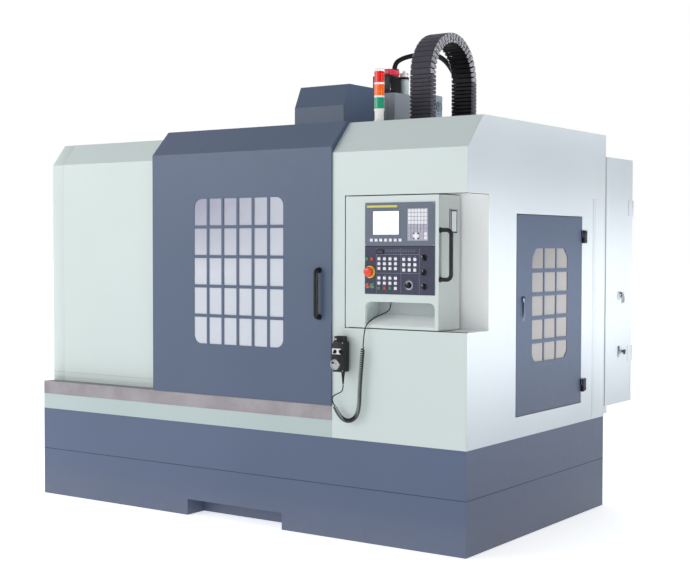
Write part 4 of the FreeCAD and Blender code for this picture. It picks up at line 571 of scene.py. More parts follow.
# ---------------------------------------------------------------- cords
CORD_D, CURL_D, CURLS, TURN_POINTS = 5.5, 23.0, 48, 12
LEAD_ROUTE = [(738, -39, 764), (738, -39, 745), (728, -38, 727.5), (708.5, -36, 718.6),
              (689.4, -33.5, 710.9), (675.5, -31.5, 702.9), (667.6, -30, 693.9),
              (666.32, -30, 681.92), (674, -30, 668)]
CURL_ROUTE = [(674, -30, 668), (706, -30, 610), (757, -30, 583), (807, -30, 606),
              (826, -30, 660), (829, -30, 760), (838, -30, 860), (848, -30, 960)]
TAIL_ROUTE = [(848, -30, 960), (851, -30, 990), (851, -24, 1022), (852, -14, 1050), (863, 8, 1074),
              (888, 30, 1096), (921, 48, 1110), (946, 60, 1130), (946, 60, 1158)]
HOSE_ROUTE = [(92, 1425, 2485), (92, 1425, 2523), (140, 1440, 2552), (215, 1460, 2566),
              (270, 1510, 2579), (300, 1595, 2571), (313, 1695, 2528), (312, 1775, 2455),
              (300, 1808, 2365), (288, 1812, 2260), (276, 1795, 2160)]
HOSE_D, HOSE_SPREAD = 15.0, 9.5


def curve(name, points, diameter, finish, sides=5):
    """Curve of one open NURBS spline with these points, in metres, as its control points."""
    data = bpy.data.curves.new(name, "CURVE")
    data.dimensions = "3D"
    data.resolution_u = 12
    data.bevel_depth = diameter / 2000
    data.bevel_resolution = sides
    data.use_fill_caps = True
    spline = data.splines.new("NURBS")
    spline.points.add(len(points) - 1)
    for point, co in zip(spline.points, points):
        point.co = (*co, 1)
    spline.order_u = 3
    spline.use_endpoint_u = True
    data.materials.append(finish)
    obj = bpy.data.objects.new(name, data)
    bpy.context.collection.objects.link(obj)
    return obj


def line_of(obj):
    """Points of a curve's own line, as Blender draws it with no thickness."""
    bare = bpy.data.objects.new("bare_line", obj.data.copy())
    bare.data.bevel_depth = 0
    bpy.context.collection.objects.link(bare)
    view = bpy.context.evaluated_depsgraph_get()
    mesh = bpy.data.meshes.new_from_object(bare.evaluated_get(view))
    points = [v.co.copy() for v in mesh.vertices]
    bpy.data.objects.remove(bare)
    bpy.data.meshes.remove(mesh)
    return points


def walk(points):
    """Function of a distance along the points that gives the place and the direction there, and the
    whole length."""
    marks = [0.0]
    for a, b in zip(points, points[1:]):
        marks.append(marks[-1] + (b - a).length)

    def spot(s):
        s = min(max(s, 0.0), marks[-1])
        i = next(k for k in range(1, len(marks)) if s <= marks[k] + 1e-12)
        a, b = points[i - 1], points[i]
        return a.lerp(b, (s - marks[i - 1]) / (marks[i] - marks[i - 1])), (b - a).normalized()
    return spot, marks[-1]


def curly(line):
    """Helix about a line: even curls that open out of a straight end and close into another."""
    spot, length = walk(line)
    radius, start = (CURL_D - CORD_D) / 2000, CORD_D / 1000
    stop = length - start
    pitch = (stop - start) / (CURLS + 2)
    ease = 2 * pitch
    points = [spot(0)[0]]
    for i in range(CURLS * TURN_POINTS + 1):
        turns = i / TURN_POINTS
        if turns < 1:
            s = start + ease * math.sqrt(turns)
        elif turns > CURLS - 1:
            s = stop - ease * math.sqrt(CURLS - turns)
        else:
            s = start + ease + (turns - 1) * pitch
        centre, ahead = spot(s)
        side = Vector((0, 1, 0))
        up = ahead.cross(side).normalized()
        open_by = min(1.0, (s - start) / ease, (stop - s) / ease)
        reach = radius * open_by * open_by * (3 - 2 * open_by)
        turn = 2 * math.pi * turns
        points.append(centre + (side * math.cos(turn) + up * math.sin(turn)) * reach)
    return points + [spot(length)[0]]


def beside(route, angle, reach):
    """The route's points moved out sideways, keeping the same side as the route turns."""
    points = [at(*p) for p in route]
    side, moved_points = Vector((math.cos(angle), math.sin(angle), 0)), []
    for i, point in enumerate(points):
        ahead = (points[min(i + 1, len(points) - 1)] - points[max(i - 1, 0)]).normalized()
        side = (side - ahead * side.dot(ahead)).normalized()
        moved_points.append(point + side * reach / 1000)
    return moved_points


def as_mesh(obj):
    """Turns a curve into a smooth-shaded mesh."""
    only(obj)
    bpy.ops.object.convert(target="MESH")
    return smooth(bpy.context.object, 60)


def pendant_cord():
    """Jacketed cord from the pendant: a plain lead, the curls, and a plain tail up into the tray."""
    lead = curve("pendant_lead", [at(*p) for p in LEAD_ROUTE], CORD_D, CORD)
    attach(lead, "frame")
    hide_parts("cord_lead")
    axis = curve("curl_axis", [at(*p) for p in CURL_ROUTE], CORD_D, CORD)
    helix = curly(line_of(axis))
    bpy.data.objects.remove(axis)
    curls = as_mesh(curve("pendant_curls", helix, CORD_D, CORD, 3))
    tail = curve("pendant_tail", [at(*p) for p in TAIL_ROUTE], CORD_D, CORD)
    tail_line = line_of(tail)
    tail = as_mesh(tail)
    for piece, node, exit_mm, length, line in (
        (curls, "cord_curl", CURL_ROUTE[0], 2.7, helix),
        (tail, "cord_tail", TAIL_ROUTE[0], 0.2657, tail_line),
    ):
        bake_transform(piece)
        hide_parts(node)
        at(*exit_mm)
        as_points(line)


def hoses():
    """Three hoses that leave the motor's cover together and go down behind the column."""
    for i in range(3):
        route = beside(HOSE_ROUTE, math.radians(90 + 120 * i), HOSE_SPREAD)
        hose = curve("head_hose_%d" % (i + 1), route, HOSE_D, HOSE)
        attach(hose, "frame")
        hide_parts("cable_bundle")


pendant_cord()
hoses()


# ---------------------------------------------------------------- cable carrier
LINK_X0, LINK_X1 = 338.0, 479.0
CARRIER_Y0, CARRIER_Y1 = 1200.0, 1259.0
HALF_LINK = (CARRIER_Y1 - CARRIER_Y0) / 2
BEND_Y, BEND_Z, BEND_R = 1466.0, 2411.0, 236.5
FRONT_LEG, REAR_LEG = 361, 511
FRONT_LINKS, REAR_LINKS, CROWN_LINKS = 16, 23, 23


def link(name, height, inner_share, gap, finish):
    """Carrier link: two side plates with a pin boss, joined by slats and a dark web. It is modelled
    just above the foot of the bend; inner_share tapers it for the bend, and gap parts its plates."""
    z0, z1 = BEND_Z + 1, BEND_Z + height - 1
    middle = (z0 + z1) / 2
    outer = slab(name, (LINK_X0 + 5, LINK_X1 - 5), (CARRIER_Y0 + 1.5, CARRIER_Y0 + 7), (z0, z1),
                 NYLON, 1)
    raise_face(outer, (0, -1, 0), 3, 1.5)
    inner = slab(name, (LINK_X0 + 8, LINK_X1 - 8), (CARRIER_Y1 - 8, CARRIER_Y1 - 3), (z0 + 2, z1 - 2),
                 NYLON_INNER, 1.2, 1)
    web = slab("web", (LINK_X0 + 12, LINK_X1 - 12), (CARRIER_Y0 + 9, CARRIER_Y0 + 14), (z0 - 4, z1 + 4),
               NYLON_INNER, 1, 1)
    parts = [outer, inner, web]
    for x, side in ((LINK_X0, -1), (LINK_X1, 1)):
        plate = slab(name, (min(x, x - side * 6), max(x, x - side * 6)),
                     (CARRIER_Y0 + 1, CARRIER_Y1 - 1), (z0 - 1 + gap / 2, z1 + 1 - gap / 2), finish)
        rim = at(x, CARRIER_Y1 - 1, z0).y
        bevel_edges(plate, lambda e: all(abs(v.co.y - rim) < 1e-5 for v in e.verts)
                    and abs(e.verts[0].co.x - e.verts[1].co.x) > 1e-4, 0.24 * height, 3)
        round_off(plate, 1.5, 2, 50)
        raise_face(plate, (side, 0, 0), 3.5, 1.6)
        boss = turned(name, [(7, -1), (7, 1.6), (5.5, 2.4), (2.5, 2.4), (2.2, 1.2)], finish, 14)
        place(boss, "left" if side < 0 else "right", x + side * 0.9, CARRIER_Y1 - 17, middle)
        parts += [plate, boss]
    whole = join(name, *parts)
    if inner_share < 1:
        y0, y1 = at(0, CARRIER_Y0, 0).y, at(0, CARRIER_Y1, 0).y
        for v in whole.data.vertices:
            depth = (v.co.y - y0) / (y1 - y0)
            v.co.z = middle / 1000 + (v.co.z - middle / 1000) * (1 + (inner_share - 1) * depth)
    return whole


def round_bend(angle):
    """Turn about the bend's centre, up and back from the front leg's top."""
    centre = Matrix.Translation(at(0, BEND_Y, BEND_Z))
    return centre @ Matrix.Rotation(-angle, 4, "X") @ centre.inverted()


def cable_carrier():
    """Cable carrier: a front leg, the half-circle bend over the column, and a rear leg."""
    pitch = FRONT_LEG / FRONT_LINKS
    one = link("carrier_front_links", pitch, 1, 2.5, NYLON_LEG)
    front = copies(one, "carrier_front_links",
                   moved(*[(0, 0, -(i + 1) * pitch) for i in range(FRONT_LINKS)]))
    pitch = REAR_LEG / REAR_LINKS
    one = link("carrier_rear_links", pitch, 1, 2.5, NYLON_LEG)
    up = moved(*[(0, 0, i * pitch) for i in range(REAR_LINKS)])
    rear = copies(one, "carrier_rear_links", [round_bend(math.pi) @ m for m in up])
    step = math.pi / CROWN_LINKS
    outer = step * (BEND_R + HALF_LINK)
    one = link("carrier_crown_links", outer, (BEND_R - HALF_LINK) / (BEND_R + HALF_LINK), 9, NYLON_SIDE)
    down = Matrix.Translation((0, 0, -outer / 2000))
    crown = copies(one, "carrier_crown_links",
                   [round_bend((i + 0.5) * step) @ down for i in range(CROWN_LINKS)])
    fit(crown, "carrier_bend", "carrier_nylon", "carrier_crown")
    for leg, node, far_body, start, end in (
        (front, "carrier_front_leg", "head", BEND_Z + FRONT_LEG, BEND_Z - FRONT_LEG),
        (rear, "carrier_rear_leg", "carrier_bend", BEND_Z - REAR_LEG, BEND_Z),
    ):
        smooth(leg)
        at(408, 1400, start)
        at(408, 1400, end)
        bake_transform(leg)
        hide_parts(node)


# ---------------------------------------------------------------- over the roof
COLUMN_TOP = 2338
MOTOR_X, MOTOR_Y = 56, 1392
BOOSTER_X, BOOSTER_Y = 125, 1480
JUNCTION_X = 303          # outer face of the junction box's lid
ROOF = 2041
TOWER_X, TOWER_Y, TOWER_R, LAMP_PITCH = 792, 190, 25.5, 64


def head_motor():
    """Servo that lifts the head: flanged black housing with a crimson encoder cover on top, and the
    plate that closes its bracket."""
    x, y, z = MOTOR_X, MOTOR_Y, COLUMN_TOP
    housing = slab("head_motor_housing", (x - 62, x + 62), (y - 62, y + 62), (z + 8, z + 108),
                   MOTOR, 7, 3)
    flange = slab("flange", (x - 65, x + 65), (y - 65, y + 65), (z, z + 10), MOTOR, 3)
    rib = slab("rib", (x - 40, x + 40), (y - 64.5, y - 61), (z + 20, z + 24), MOTOR, 1.2)
    ribs = copies(rib, "ribs", moved(*[(0, 0, 10 * i) for i in range(8)]))
    fit(join("head_motor_housing", housing, flange, ribs), "frame", "motor_black", "z_servo_motor")
    cover = slab("head_motor_cover", (x - 58, x + 58), (y - 58, y + 58), (z + 109, z + 146),
                 CAP_RED, 11, 4)
    fit(raise_face(cover, (0, 0, 1), 12, 1), "frame", "red_plastic")
    neck = slab("head_motor_plug", (x + 18, x + 54), (y + 8, y + 54), (z + 140, z + 154), MOTOR, 5, 3)
    fit(neck, "frame", "motor_black")
    plate = slab("bracket_cover", (-3.8, 115.8), (1323, 1331), (2160.5, 2297.8), CAST, 1.5)
    fit(raise_face(plate, (0, -1, 0), 9, 2), "frame", "cast_paint")
    corners = [(x + i, y + j, z + 10) for i in (-55, 55) for j in (-55, 55)]
    screws("head_motor_bolts", 6, "up", corners, GROUND, "frame", "ground_steel")


def booster():
    """Air cylinder that frees the tool: grey-green barrel, dark band and a pale ribbed head."""
    barrel = turned("booster_barrel", [(28, 0), (28, 4), (26.5, 6), (26.5, 84), (28, 86), (28, 92)],
                    BOOSTER)
    band = turned("booster_band", [(28.4, 92), (28.4, 104), (27, 106)], MOTOR)
    crown = turned("booster_crown", [(27.5, 106), (28.2, 110), (28.2, 126), (26, 130), (12, 130),
                                     (11, 133), (11, 141), (9, 144)], RING, 48)
    flute(crown, 108, 128, 0.06)
    for piece, node in ((barrel, ["booster_cylinder"]), (band, []), (crown, [])):
        place(piece, "up", BOOSTER_X, BOOSTER_Y, COLUMN_TOP)
        fit(piece, "frame", "cast_paint", *node)


def junction_flange():
    """Blue-grey lid on the junction box's flank, its round blanking flange, a gland and screws."""
    lid = slab("junction_lid", (299.6, JUNCTION_X), (1522.5, 1626.5), (2161, 2333), JUNCTION, 2.4, 3)
    fit(lid, "frame", "cast_paint")
    ring = turned("junction_flange", [(31, 0), (31, 3), (29.5, 4.2), (24, 4.2), (22.5, 2.4), (18, 2.4),
                                      (16.5, 4), (4, 4)], JUNCTION, 40)
    place(ring, "right", JUNCTION_X, 1583, 2268)
    gland = turned("junction_gland", [(12, 0), (12, 3), (10.5, 4), (8, 4), (7.5, 1.5)], JUNCTION, 24)
    place(gland, "right", JUNCTION_X, 1547, 2308)
    for piece in (ring, gland):
        fit(piece, "frame", "cast_paint")
    corners = [(JUNCTION_X, y, z) for y in (1530, 1619) for z in (2172, 2325)]
    screws("junction_screws", 3.2, "right", corners, GROUND, "frame", "ground_steel")


def signal_tower():
    """Lamp tower: white foot, fluted lenses between white rings, and a cap."""
    x, y, z, r = TOWER_X, TOWER_Y, ROOF, TOWER_R
    foot = turned("tower_foot", [(r, 0), (r, 6), (r - 3, 9), (r - 3, 50), (r - 1, 54), (r, 56),
                                 (r, 63.5)], RING)
    fit(place(foot, "up", x, y, z), "frame", "ring_plastic", "signal_mast")
    for i, lamp in enumerate(LAMPS):
        z0 = z + LAMP_PITCH * (i + 1)
        lens = turned("tower_lens_%d" % (i + 1), [(r - 1.5, -2), (r - 1.5, 0), (r - 0.8, 3),
                                                  (r - 0.8, 51), (r - 1.5, 54), (r - 1.5, 56)],
                      lamp, 60)
        flute(lens, 2, 52, 0.045)
        node = ["signal_lamps"] if i == 0 else []
        fit(place(lens, "up", x, y, z0), "frame", "lamp_plastic", *node)
        ring = turned("tower_ring_%d" % (i + 1), [(r - 0.5, 54.2), (r, 55), (r, 63), (r - 0.6, 63.8)],
                      RING)
        fit(place(ring, "up", x, y, z0), "frame", "ring_plastic")
    cap = turned("tower_cap", [(r - 0.6, 0), (r - 1, 1.6), (r - 5, 3), (2, 3.4)], RING)
    fit(place(cap, "up", x, y, z + 255.8), "frame", "ring_plastic")


# ---------------------------------------------------------------- enclosure trim
CASING_X = -1397.5        # flush with the plinth's end
LEFT_Y = 75               # front of the left panel
SLOPE_Z = 1895            # foot of the slope over the left panel
SLOPE_NORMAL = (0, -0.119, 0.095)
FLANGE_Z = (497, 1690)    # foot and head of the right end's upright flange
SIDE_HINGES = (692, 1483)
CABINET_Y, ISOLATOR_Z, LOCK_Z = 1734, 1160, 838


def strip(name, x, y, z, finish, rounding=0.3):
    """Thin bar with its edges just taken off."""
    return slab(name, x, y, z, finish, rounding, 1)


def enclosure_trim():
    """Seams, seals and fastenings of the sheet-metal enclosure, and the casing of its left end."""
    x0, x1, y0, y1, deep = -1398.5, 1398.5, -0.5, 1532.5, 1.5
    sides = [((x0, x1), (y0, y0 + deep)), ((x1 - deep, x1), (y0, y1)), ((x0, x0 + deep), (y0, y1)),
             ((x0, x1), (y1 - deep, y1))]
    seam = [strip("seam", x, y, (260.8, 263.2), SEAL) for x, y in sides]
    fit(join("plinth_seam", *seam), "frame", "blue_paint")
    casing = slab("left_end_casing", (CASING_X, -1308.2), (LEFT_Y, 1538), (494, 2014), PALE)
    pick(casing, "FACE", lambda f: True)
    bpy.ops.mesh.bisect(plane_co=at(0, LEFT_Y, SLOPE_Z), plane_no=SLOPE_NORMAL, use_fill=True,
                        clear_outer=True)
    close_edit()
    fit(round_off(casing, 2, 2, 20), "frame", "pale_paint")
    lines = [strip("left_panel_seam", (CASING_X + 1, -534), (74.3, 76), z, finish)
             for z, finish in (((698.8, 701.2), LINER), ((670.2, 671.8), APRON))]
    fit(join("left_panel_seam", *lines), "frame", "pale_paint")
    # Black seal strips round the recess edge; they also paint the shade of the narrow gap round the
    # operator box's recess
    recess = [strip("seal", x, y, z, SEAL) for x, y, z in (
        ((720, 721), (0.5, 14), (1035, 1675)),
        ((720, 1397.5), (0.5, 12), (1672.2, 1675)),
        ((720, 1397.5), (0.5, 12), (1035, 1037.6)),
        ((1386, 1397.5), (0.5, 204), (1673, 1675)),
    )]
    fit(join("recess_seal_and_gap_shade", *recess), "frame", "hose_rubber")
    post = slab("side_flange", (1397.5, 1399.2), (1377, 1500), FLANGE_Z, COOL, 0.6)
    fit(raise_face(post, (1, 0, 0), 22, 1.2), "frame", "pale_paint")
    edges = [strip("post_edge", (1397.5, 1398.4), (y, y + 1.6), FLANGE_Z, LINER)
             for y in (1374.6, 1500.2)]
    fit(join("side_flange_gaps", *edges), "frame", "pale_paint")
    rear = [(x, 1538, z) for x in (-1290, -640, 10, 660, 1380) for z in (520, 1010, 1500, 1990)]
    end = [(CASING_X, y, z) for y in (120, 800, 1490) for z in (520, 1150, 1840)]
    roof = [(x, y, ROOF) for x in (680, 1360) for y in (330, 900, 1480)]
    for name, facing, points in (("rear_panel_screws", "back", rear), ("left_end_screws", "left", end),
                                 ("roof_screws", "up", roof)):
        screws(name, 7, facing, points, GROUND, "frame", "ground_steel")


def door_fittings():
    """Bars over the window, and a bow handle on round feet for the sliding door."""
    bars = [strip("bar", (x - 8, x + 8), (-9.9, -8.8), (918, 1678), BLUE, 0.5)
            for x in range(-144, 257, 100)]
    bars += [strip("bar", (-240.5, 352.5), (-9.8, -8.8), (z - 7.8, z + 7.8), BLUE, 0.5)
             for z in range(1067, 1530, 154)]
    fit(join("window_bars", *bars), "door", "blue_paint")
    handle = bow_handle("front_door_handle", "front", (574, -9, 1083), (0, -29, 0), 230, 16, 24,
                        [(14.5, 0), (14.5, 2.6), (13, 4), (10, 4)])
    fit(handle, "door", "black_plastic", "door_handle")


def side_window_bars():
    """Flat bars over the side door's window."""
    bars = [strip("bar", (1398.8, 1399.7), (651, 1057), (z - 10.5, z + 10.5), BLUE)
            for z in (845.5, 956.5, 1074.5, 1192.5, 1310.5)]
    fit(join("side_window_bars", *bars), "access_door", "blue_paint")


def side_hinges():
    """Lift-off hinges of the side door: both frame halves are one piece, and both door halves another."""
    x, y, tall = 1408, 1235, 34
    leaves, barrels = [], []
    for z in SIDE_HINGES:
        leaves.append(slab("leaf", (1398.1, 1403.6), (1244.5, 1291), (z - tall, z + tall), BLACK, 1.2))
        leaves.append(slab("web", (1398.3, 1403.4), (1236, 1246), (z - tall, z - 0.6), BLACK, 0.8, 1))
        lower = turned("barrel", [(7.6, 0), (9, 1.6), (9, 32), (8.4, 33.4)], BLACK, 28)
        leaves.append(place(lower, "up", x, y, z - tall))
        upper = turned("barrel", [(8.4, 0), (9, 1.2), (9, 31.5), (7.4, 33.8), (3, 34.6)], BLACK, 28)
        barrels.append(place(upper, "up", x, y, z + 0.6))
        barrels.append(slab("side", (1399.2, 1407), (1221, 1232.8), (z + 0.5, z + tall), BLACK, 0.8, 1))
    fit(join("side_hinge_frame_halves", *leaves), "frame", "black_plastic", "side_hinges")
    fit(join("side_hinge_door_halves", *barrels), "access_door", "black_plastic")
    points = [(1403.6, y, z + d) for y in (1256, 1280) for z in SIDE_HINGES for d in (-22, 22)]
    screws("side_hinge_screws", 4.4, "right", points, BLACK, "frame", "black_plastic")


def side_latch():
    """Turning latch on its plate, with a key cylinder under it."""
    y, foot = 552, 1090
    plate = slab("latch_plate", (1399, 1400.4), (y - 16, y + 16), (1066, 1192), GREY_BLUE, 0.5)
    fit(plate, "access_door", "chrome_trim")
    key = turned("latch_key_cylinder", [(7, 0), (7, 2.4), (6, 3.2), (4.6, 3.2), (4.4, 2.4)], CHROME, 28)
    slot = slab("slot", (1402.6, 1403), (y - 0.8, y + 0.8), (1075, 1081), SEAL)
    place(key, "right", 1400.2, y, 1078)
    fit(join("latch_key_cylinder", key, slot), "access_door", "chrome_trim")
    boss = turned("side_latch_lever", [(17, 0.4), (17, 8), (15, 10.5), (9, 13), (3, 13.6)], GREY_BLUE)
    place(boss, "right", 1399.3, y, 1170)
    lever = slab("lever", (1403.3, 1413), (y - 9, y + 9), (foot, 1168), GREY_BLUE)
    round_off(taper(lever, (0, 0, -1), (0.6, 0.7, 1), at(1404.5, y, foot)), 3, 3)
    fit(join("side_latch_lever", boss, lever), "access_latch", "chrome_trim", "side_latch")


def cabinet_fittings():
    """Chromed swing handle of the isolator, and the lock's plate with its black-tipped lever."""
    y, z = CABINET_Y, ISOLATOR_Z
    disc = turned("isolator_handle", [(18, 0.4), (18, 5), (16, 8), (7, 8.5)], CHROME)
    place(disc, "right", 1406.3, y, z)
    grip = slab("grip", (1414, 1429), (y - 7, y + 7), (z - 48, z + 14), CHROME)
    taper(grip, (0, 0, -1), (0.8, 0.6, 1), at(1418, y, z - 48))
    inlay = slab("inlay", (1416, 1429.8), (y + 1, y + 6.5), (z - 42, z - 8), BLACK, 1.5)
    round_off(grip, 3, 3)
    fit(join("isolator_handle", disc, grip, inlay), "isolator", "black_plastic", "main_switch")
    z = LOCK_Z
    plate = slab("cabinet_lock_plate", (1398.2, 1402.5), (y - 15, y + 15), (z - 34, z + 34), CHROME)
    bevel_edges(plate, lambda e: abs(e.verts[0].co.x - e.verts[1].co.x) > 0.003, 14.5, 8)
    fit(round_off(plate, 1.2, 2, 50), "cabinet_leaf", "chrome_trim")
    hub = turned("cabinet_lock_lever", [(13, 0.2), (13, 5), (11.5, 8), (7, 8.4), (6.6, 7)], CHROME)
    place(hub, "right", 1402.6, y, z)
    arm = slab("arm", (1403.6, 1410), (y + 6, y + 60), (z - 6, z + 7), BLACK, 2.5, 3)
    tip = slab("tip", (1403.4, 1410.4), (y + 50, y + 82), (z - 19, z + 8), BLACK)
    round_off(taper(tip, (0, 0, -1), (0.8, 0.55, 1), at(1406.8, y + 66, z - 19)), 3, 3)
    fit(join("cabinet_lock_lever", hub, arm, tip), "lock", "chrome_trim", "cabinet_lock")


# ---------------------------------------------------------------- operator station
FACE = -3.0               # front of the display unit and of the panel under it
SOFT_KEYS = dict(x0=869, z_top=1467, pitch_x=27, pitch_z=20, w=16, h=14)
TEXT_KEYS = dict(x0=1083, z_top=1604.5, pitch_x=17.6, pitch_z=18.1, w=15.2, h=15.4)
POWER_KEYS = dict(x0=842, z_top=1378, pitch_x=28, pitch_z=20, w=18, h=15)
MODE_KEYS = dict(x0=913, z_top=1378, pitch_x=31, pitch_z=23, w=16, h=14)
AXIS_KEYS = dict(x0=1052, z_top=1377, pitch_x=30.5, pitch_z=25, w=16, h=15)
OPTION_KEYS = dict(x0=913, z_top=1287, pitch_x=31, pitch_z=24, w=16, h=14)
CURSOR_X, CURSOR_Z = 1126.4, 1479
BOX_X, TRAY_X = 1246, (841, 1225)
ESTOP_X, ESTOP_Z = 868, 1308
START_X, STOP_X, PUSH_Z = 882, 856, 1242
DIALS = {"mode": (1172, 1378), "rapid": (1169, 1310), "speed": (1172, 1243), "feed": (1089, 1248)}


def key_cap(name, w, h, finish, proud=4.0):
    """Key cap w by h, dished on top, with its upper left corner at x 0, z 0 of the units' face."""
    cap = slab(name, (0, w), (FACE - proud, FACE + 0.5), (-h, 0), finish, 1, 1)
    return raise_face(cap, (0, -1, 0), 1.2, -0.5)


def key_block(name, cols, rows, finish, x0, z_top, pitch_x, pitch_z, w, h):
    """Copies of one cap at the columns and rows of a block of keys."""
    places = [(x0 + i * pitch_x, 0, z_top - j * pitch_z) for j in rows for i in cols]
    return copies(key_cap(name, w, h, finish), name, moved(*places))


def keys():
    """Loose caps of the two units: soft keys, text keys with a cursor cross, and machine keys."""
    blocks = [
        key_block("soft_keys", range(7), [0], KEY, **SOFT_KEYS),
        key_block("text_keys", range(6), range(4), KEY, **TEXT_KEYS),
        key_block("edit_keys", range(6), [4, 5], KEY_GREY, **TEXT_KEYS),
        key_block("page_keys", [0, 4], [6, 7], KEY_GREY, **TEXT_KEYS),
        key_block("input_keys", [5], [6, 7], KEY, **TEXT_KEYS),
        key_block("mode_keys", range(4), range(3), KEY, **MODE_KEYS),
        key_block("axis_keys", range(3), range(3), KEY, **AXIS_KEYS),
        key_block("option_keys", range(4), range(2), KEY, **OPTION_KEYS),
        key_block("cycle_start_keys", [0, 2], [2], GREEN, **OPTION_KEYS),
        key_block("feed_hold_key", [1], [2], RED, **OPTION_KEYS),
        key_block("single_key", [3], [2], KEY, **OPTION_KEYS),
        key_block("power_on_key", [0], [0], GREEN, **POWER_KEYS),
        key_block("power_off_key", [1], [0], RED, **POWER_KEYS),
    ]
    x, z, half = CURSOR_X, CURSOR_Z, 7.2
    cross = slab("cursor_cross", (x - half, x + half), (FACE - 4, FACE + 0.5), (z - half, z + half),
                 KEY)
    pick(cross, "FACE", lambda f: abs(f.normal.y) < 0.1)
    bpy.ops.mesh.extrude_faces_move(TRANSFORM_OT_shrink_fatten={"value": 0.0095})
    close_edit()
    round_off(cross, 0.9, 1)
    corner = slab("cursor_corners", (x - half - 8.2, x - half - 1), (FACE - 3, FACE + 0.5),
                  (z + half + 1, z + half + 8.2), KEY_DARK, 1, 1)
    reach = 2 * half + 9.2
    steps = [(i, 0, -j) for j in (0, reach) for i in (0, reach)]
    corners = copies(corner, "cursor_corners", moved(*steps))
    fit(join("key_caps", *blocks, cross, corners), "station", "white_keys", "keypads")


def display_front():
    """Display unit: bezel and lit screen, bare yellow strip, card door and key surround."""
    ahead = (0, -1, 0)
    bezel = slab("screen_bezel", (874, 1041), (FACE - 0.5, FACE + 0.4), (1475, 1607), DISPLAY)
    raise_face(bezel, ahead, 5, 0.3)
    screen = slab("screen_glass", (886.5, 1030.5), (FACE - 1.6, FACE + 1), (1486, 1596), SCREEN, 0.5)
    raise_face(screen, ahead, 2, -0.2)
    title = slab("title_strip", (850, 1022), (FACE - 1.6, FACE), (1614, 1624.5), STRIP_FILM, 0.7)
    raise_face(title, ahead, 1.5, -0.3)
    surround = slab("text_key_surround", (1079, 1190.5), (FACE - 1, FACE + 0.4), (1457, 1608), KEY_BED,
                    0.8)
    raise_face(surround, ahead, 2, -0.5)
    card = slab("card_door", (1203, 1219), (FACE - 1.2, FACE + 0.4), (1470, 1600), DISPLAY, 0.8)
    raise_face(card, ahead, 2.5, -0.5)
    gap = strip("unit_gap", (839.5, 1226.5), (FACE - 0.3, FACE + 2), (1428.6, 1432.2), SEAL)
    for piece, slot in ((bezel, "display_grey"), (title, "panel_grey"), (screen, "panel_grey"),
                        (surround, "display_grey"), (card, "display_grey"), (gap, "hose_rubber")):
        fit(piece, "station", slot)
    points = [(x, FACE, z) for x in (845, 1221) for z in (1437, 1631)]
    screws("display_screws", 2.6, "front", points, GROUND, "station", "ground_steel")


def panel_print():
    """Dividing lines, short bare marks over the machine keys and in two rows at the panel's top, and
    tick marks round the rotary switches."""
    y = (FACE - 0.35, FACE + 0.3)
    lines = [strip("line", (x - 0.6, x + 0.6), y, (1211, 1421), MARK, 0.1) for x in (905, 1043, 1144)]
    lines += [strip("line", (905, 1144), y, (z - 0.6, z + 0.6), MARK, 0.1) for z in (1392, 1303)]
    fit(join("panel_dividers", *lines), "station", "panel_grey")
    mark = strip("key_marks", (0, 9), y, (-1.4, 0), MARK, 0.2)
    places = []
    for block, cols, rise in ((MODE_KEYS, 4, 5.5), (AXIS_KEYS, 3, 6), (OPTION_KEYS, 4, 6)):
        x, z = block["x0"] + 3.5, block["z_top"] + rise
        places += [(x + block["pitch_x"] * i, 0, z - block["pitch_z"] * j)
                   for j in range(3) for i in range(cols)]
    places += [(914 + 14 * i, 0, 1414 - 7 * j) for j in range(2) for i in range(3, 9)]
    places += [(1052 + 15 * i, 0, 1414 - 7 * j) for j in range(2) for i in range(5)]
    fit(copies(mark, "key_marks", moved(*places)), "station", "panel_grey")
    for name, r, ticks, sweep in (("mode", 18, 9, 240), ("rapid", 18, 7, 200), ("speed", 18, 11, 270),
                                  ("feed", 25, 16, 300)):
        x, z = DIALS[name]
        tick = strip(name + "_ticks", (-0.7, 0.7), y, (r, r + 3.4), MARK, 0.15)
        turns = [math.radians(sweep * (i / (ticks - 1) - 0.5)) for i in range(ticks)]
        base = Matrix.Translation(at(x, MIDDLE_Y, z))
        ring = copies(tick, name + "_ticks", [base @ Matrix.Rotation(t, 4, "Y") for t in turns])
        fit(ring, "station", "panel_grey")


def press_controls():
    """Red mushroom stop in its bored yellow ring, and the two push buttons in their bezels."""
    rim, bore = 29.6, 13.5
    ring = turned("stop_ring", [(rim, 0), (rim, 1.6), (27.5, 2.8), (15, 2.8), (bore, 2.2)], YELLOW, 48)
    pick(ring, "FACE", lambda f: f.normal.z < -0.9)
    bpy.ops.mesh.inset(thickness=(rim - bore) / 1000)
    close_edit()
    pick(ring, "FACE", lambda f: len(f.verts) > 4)
    bpy.ops.mesh.bridge_edge_loops()
    close_edit()
    fit(place(ring, "front", ESTOP_X, FACE, ESTOP_Z), "station", "panel_grey")
    head = turned("stop_mushroom", [(10.6, 2.4), (10.6, 10), (21.6, 10.4), (23.4, 12), (23.4, 18.5),
                                    (21.6, 22.5), (16.4, 25), (8, 26)], MUSHROOM, 48)
    place(head, "front", ESTOP_X, FACE, ESTOP_Z)
    fit(head, "estop", "red_plastic", "estop_button")
    for name, x, finish, slot in (("start", START_X, GREEN, "green_plastic"),
                                  ("stop", STOP_X, RED, "red_plastic")):
        bezel = turned(name + "_bezel", [(12.4, 0), (12.4, 1.4), (11.4, 2.6), (10.2, 2.6), (10, 0.4)],
                       CHROME, 32)
        fit(place(bezel, "front", x, FACE, PUSH_Z), "station", "chrome_trim")
        cap = turned(name + "_cap", [(9.4, -8), (9.4, 4.6), (8.4, 6), (5, 5.4)], finish, 32)
        fit(place(cap, "front", x, FACE, PUSH_Z), name, slot, name + "_button")


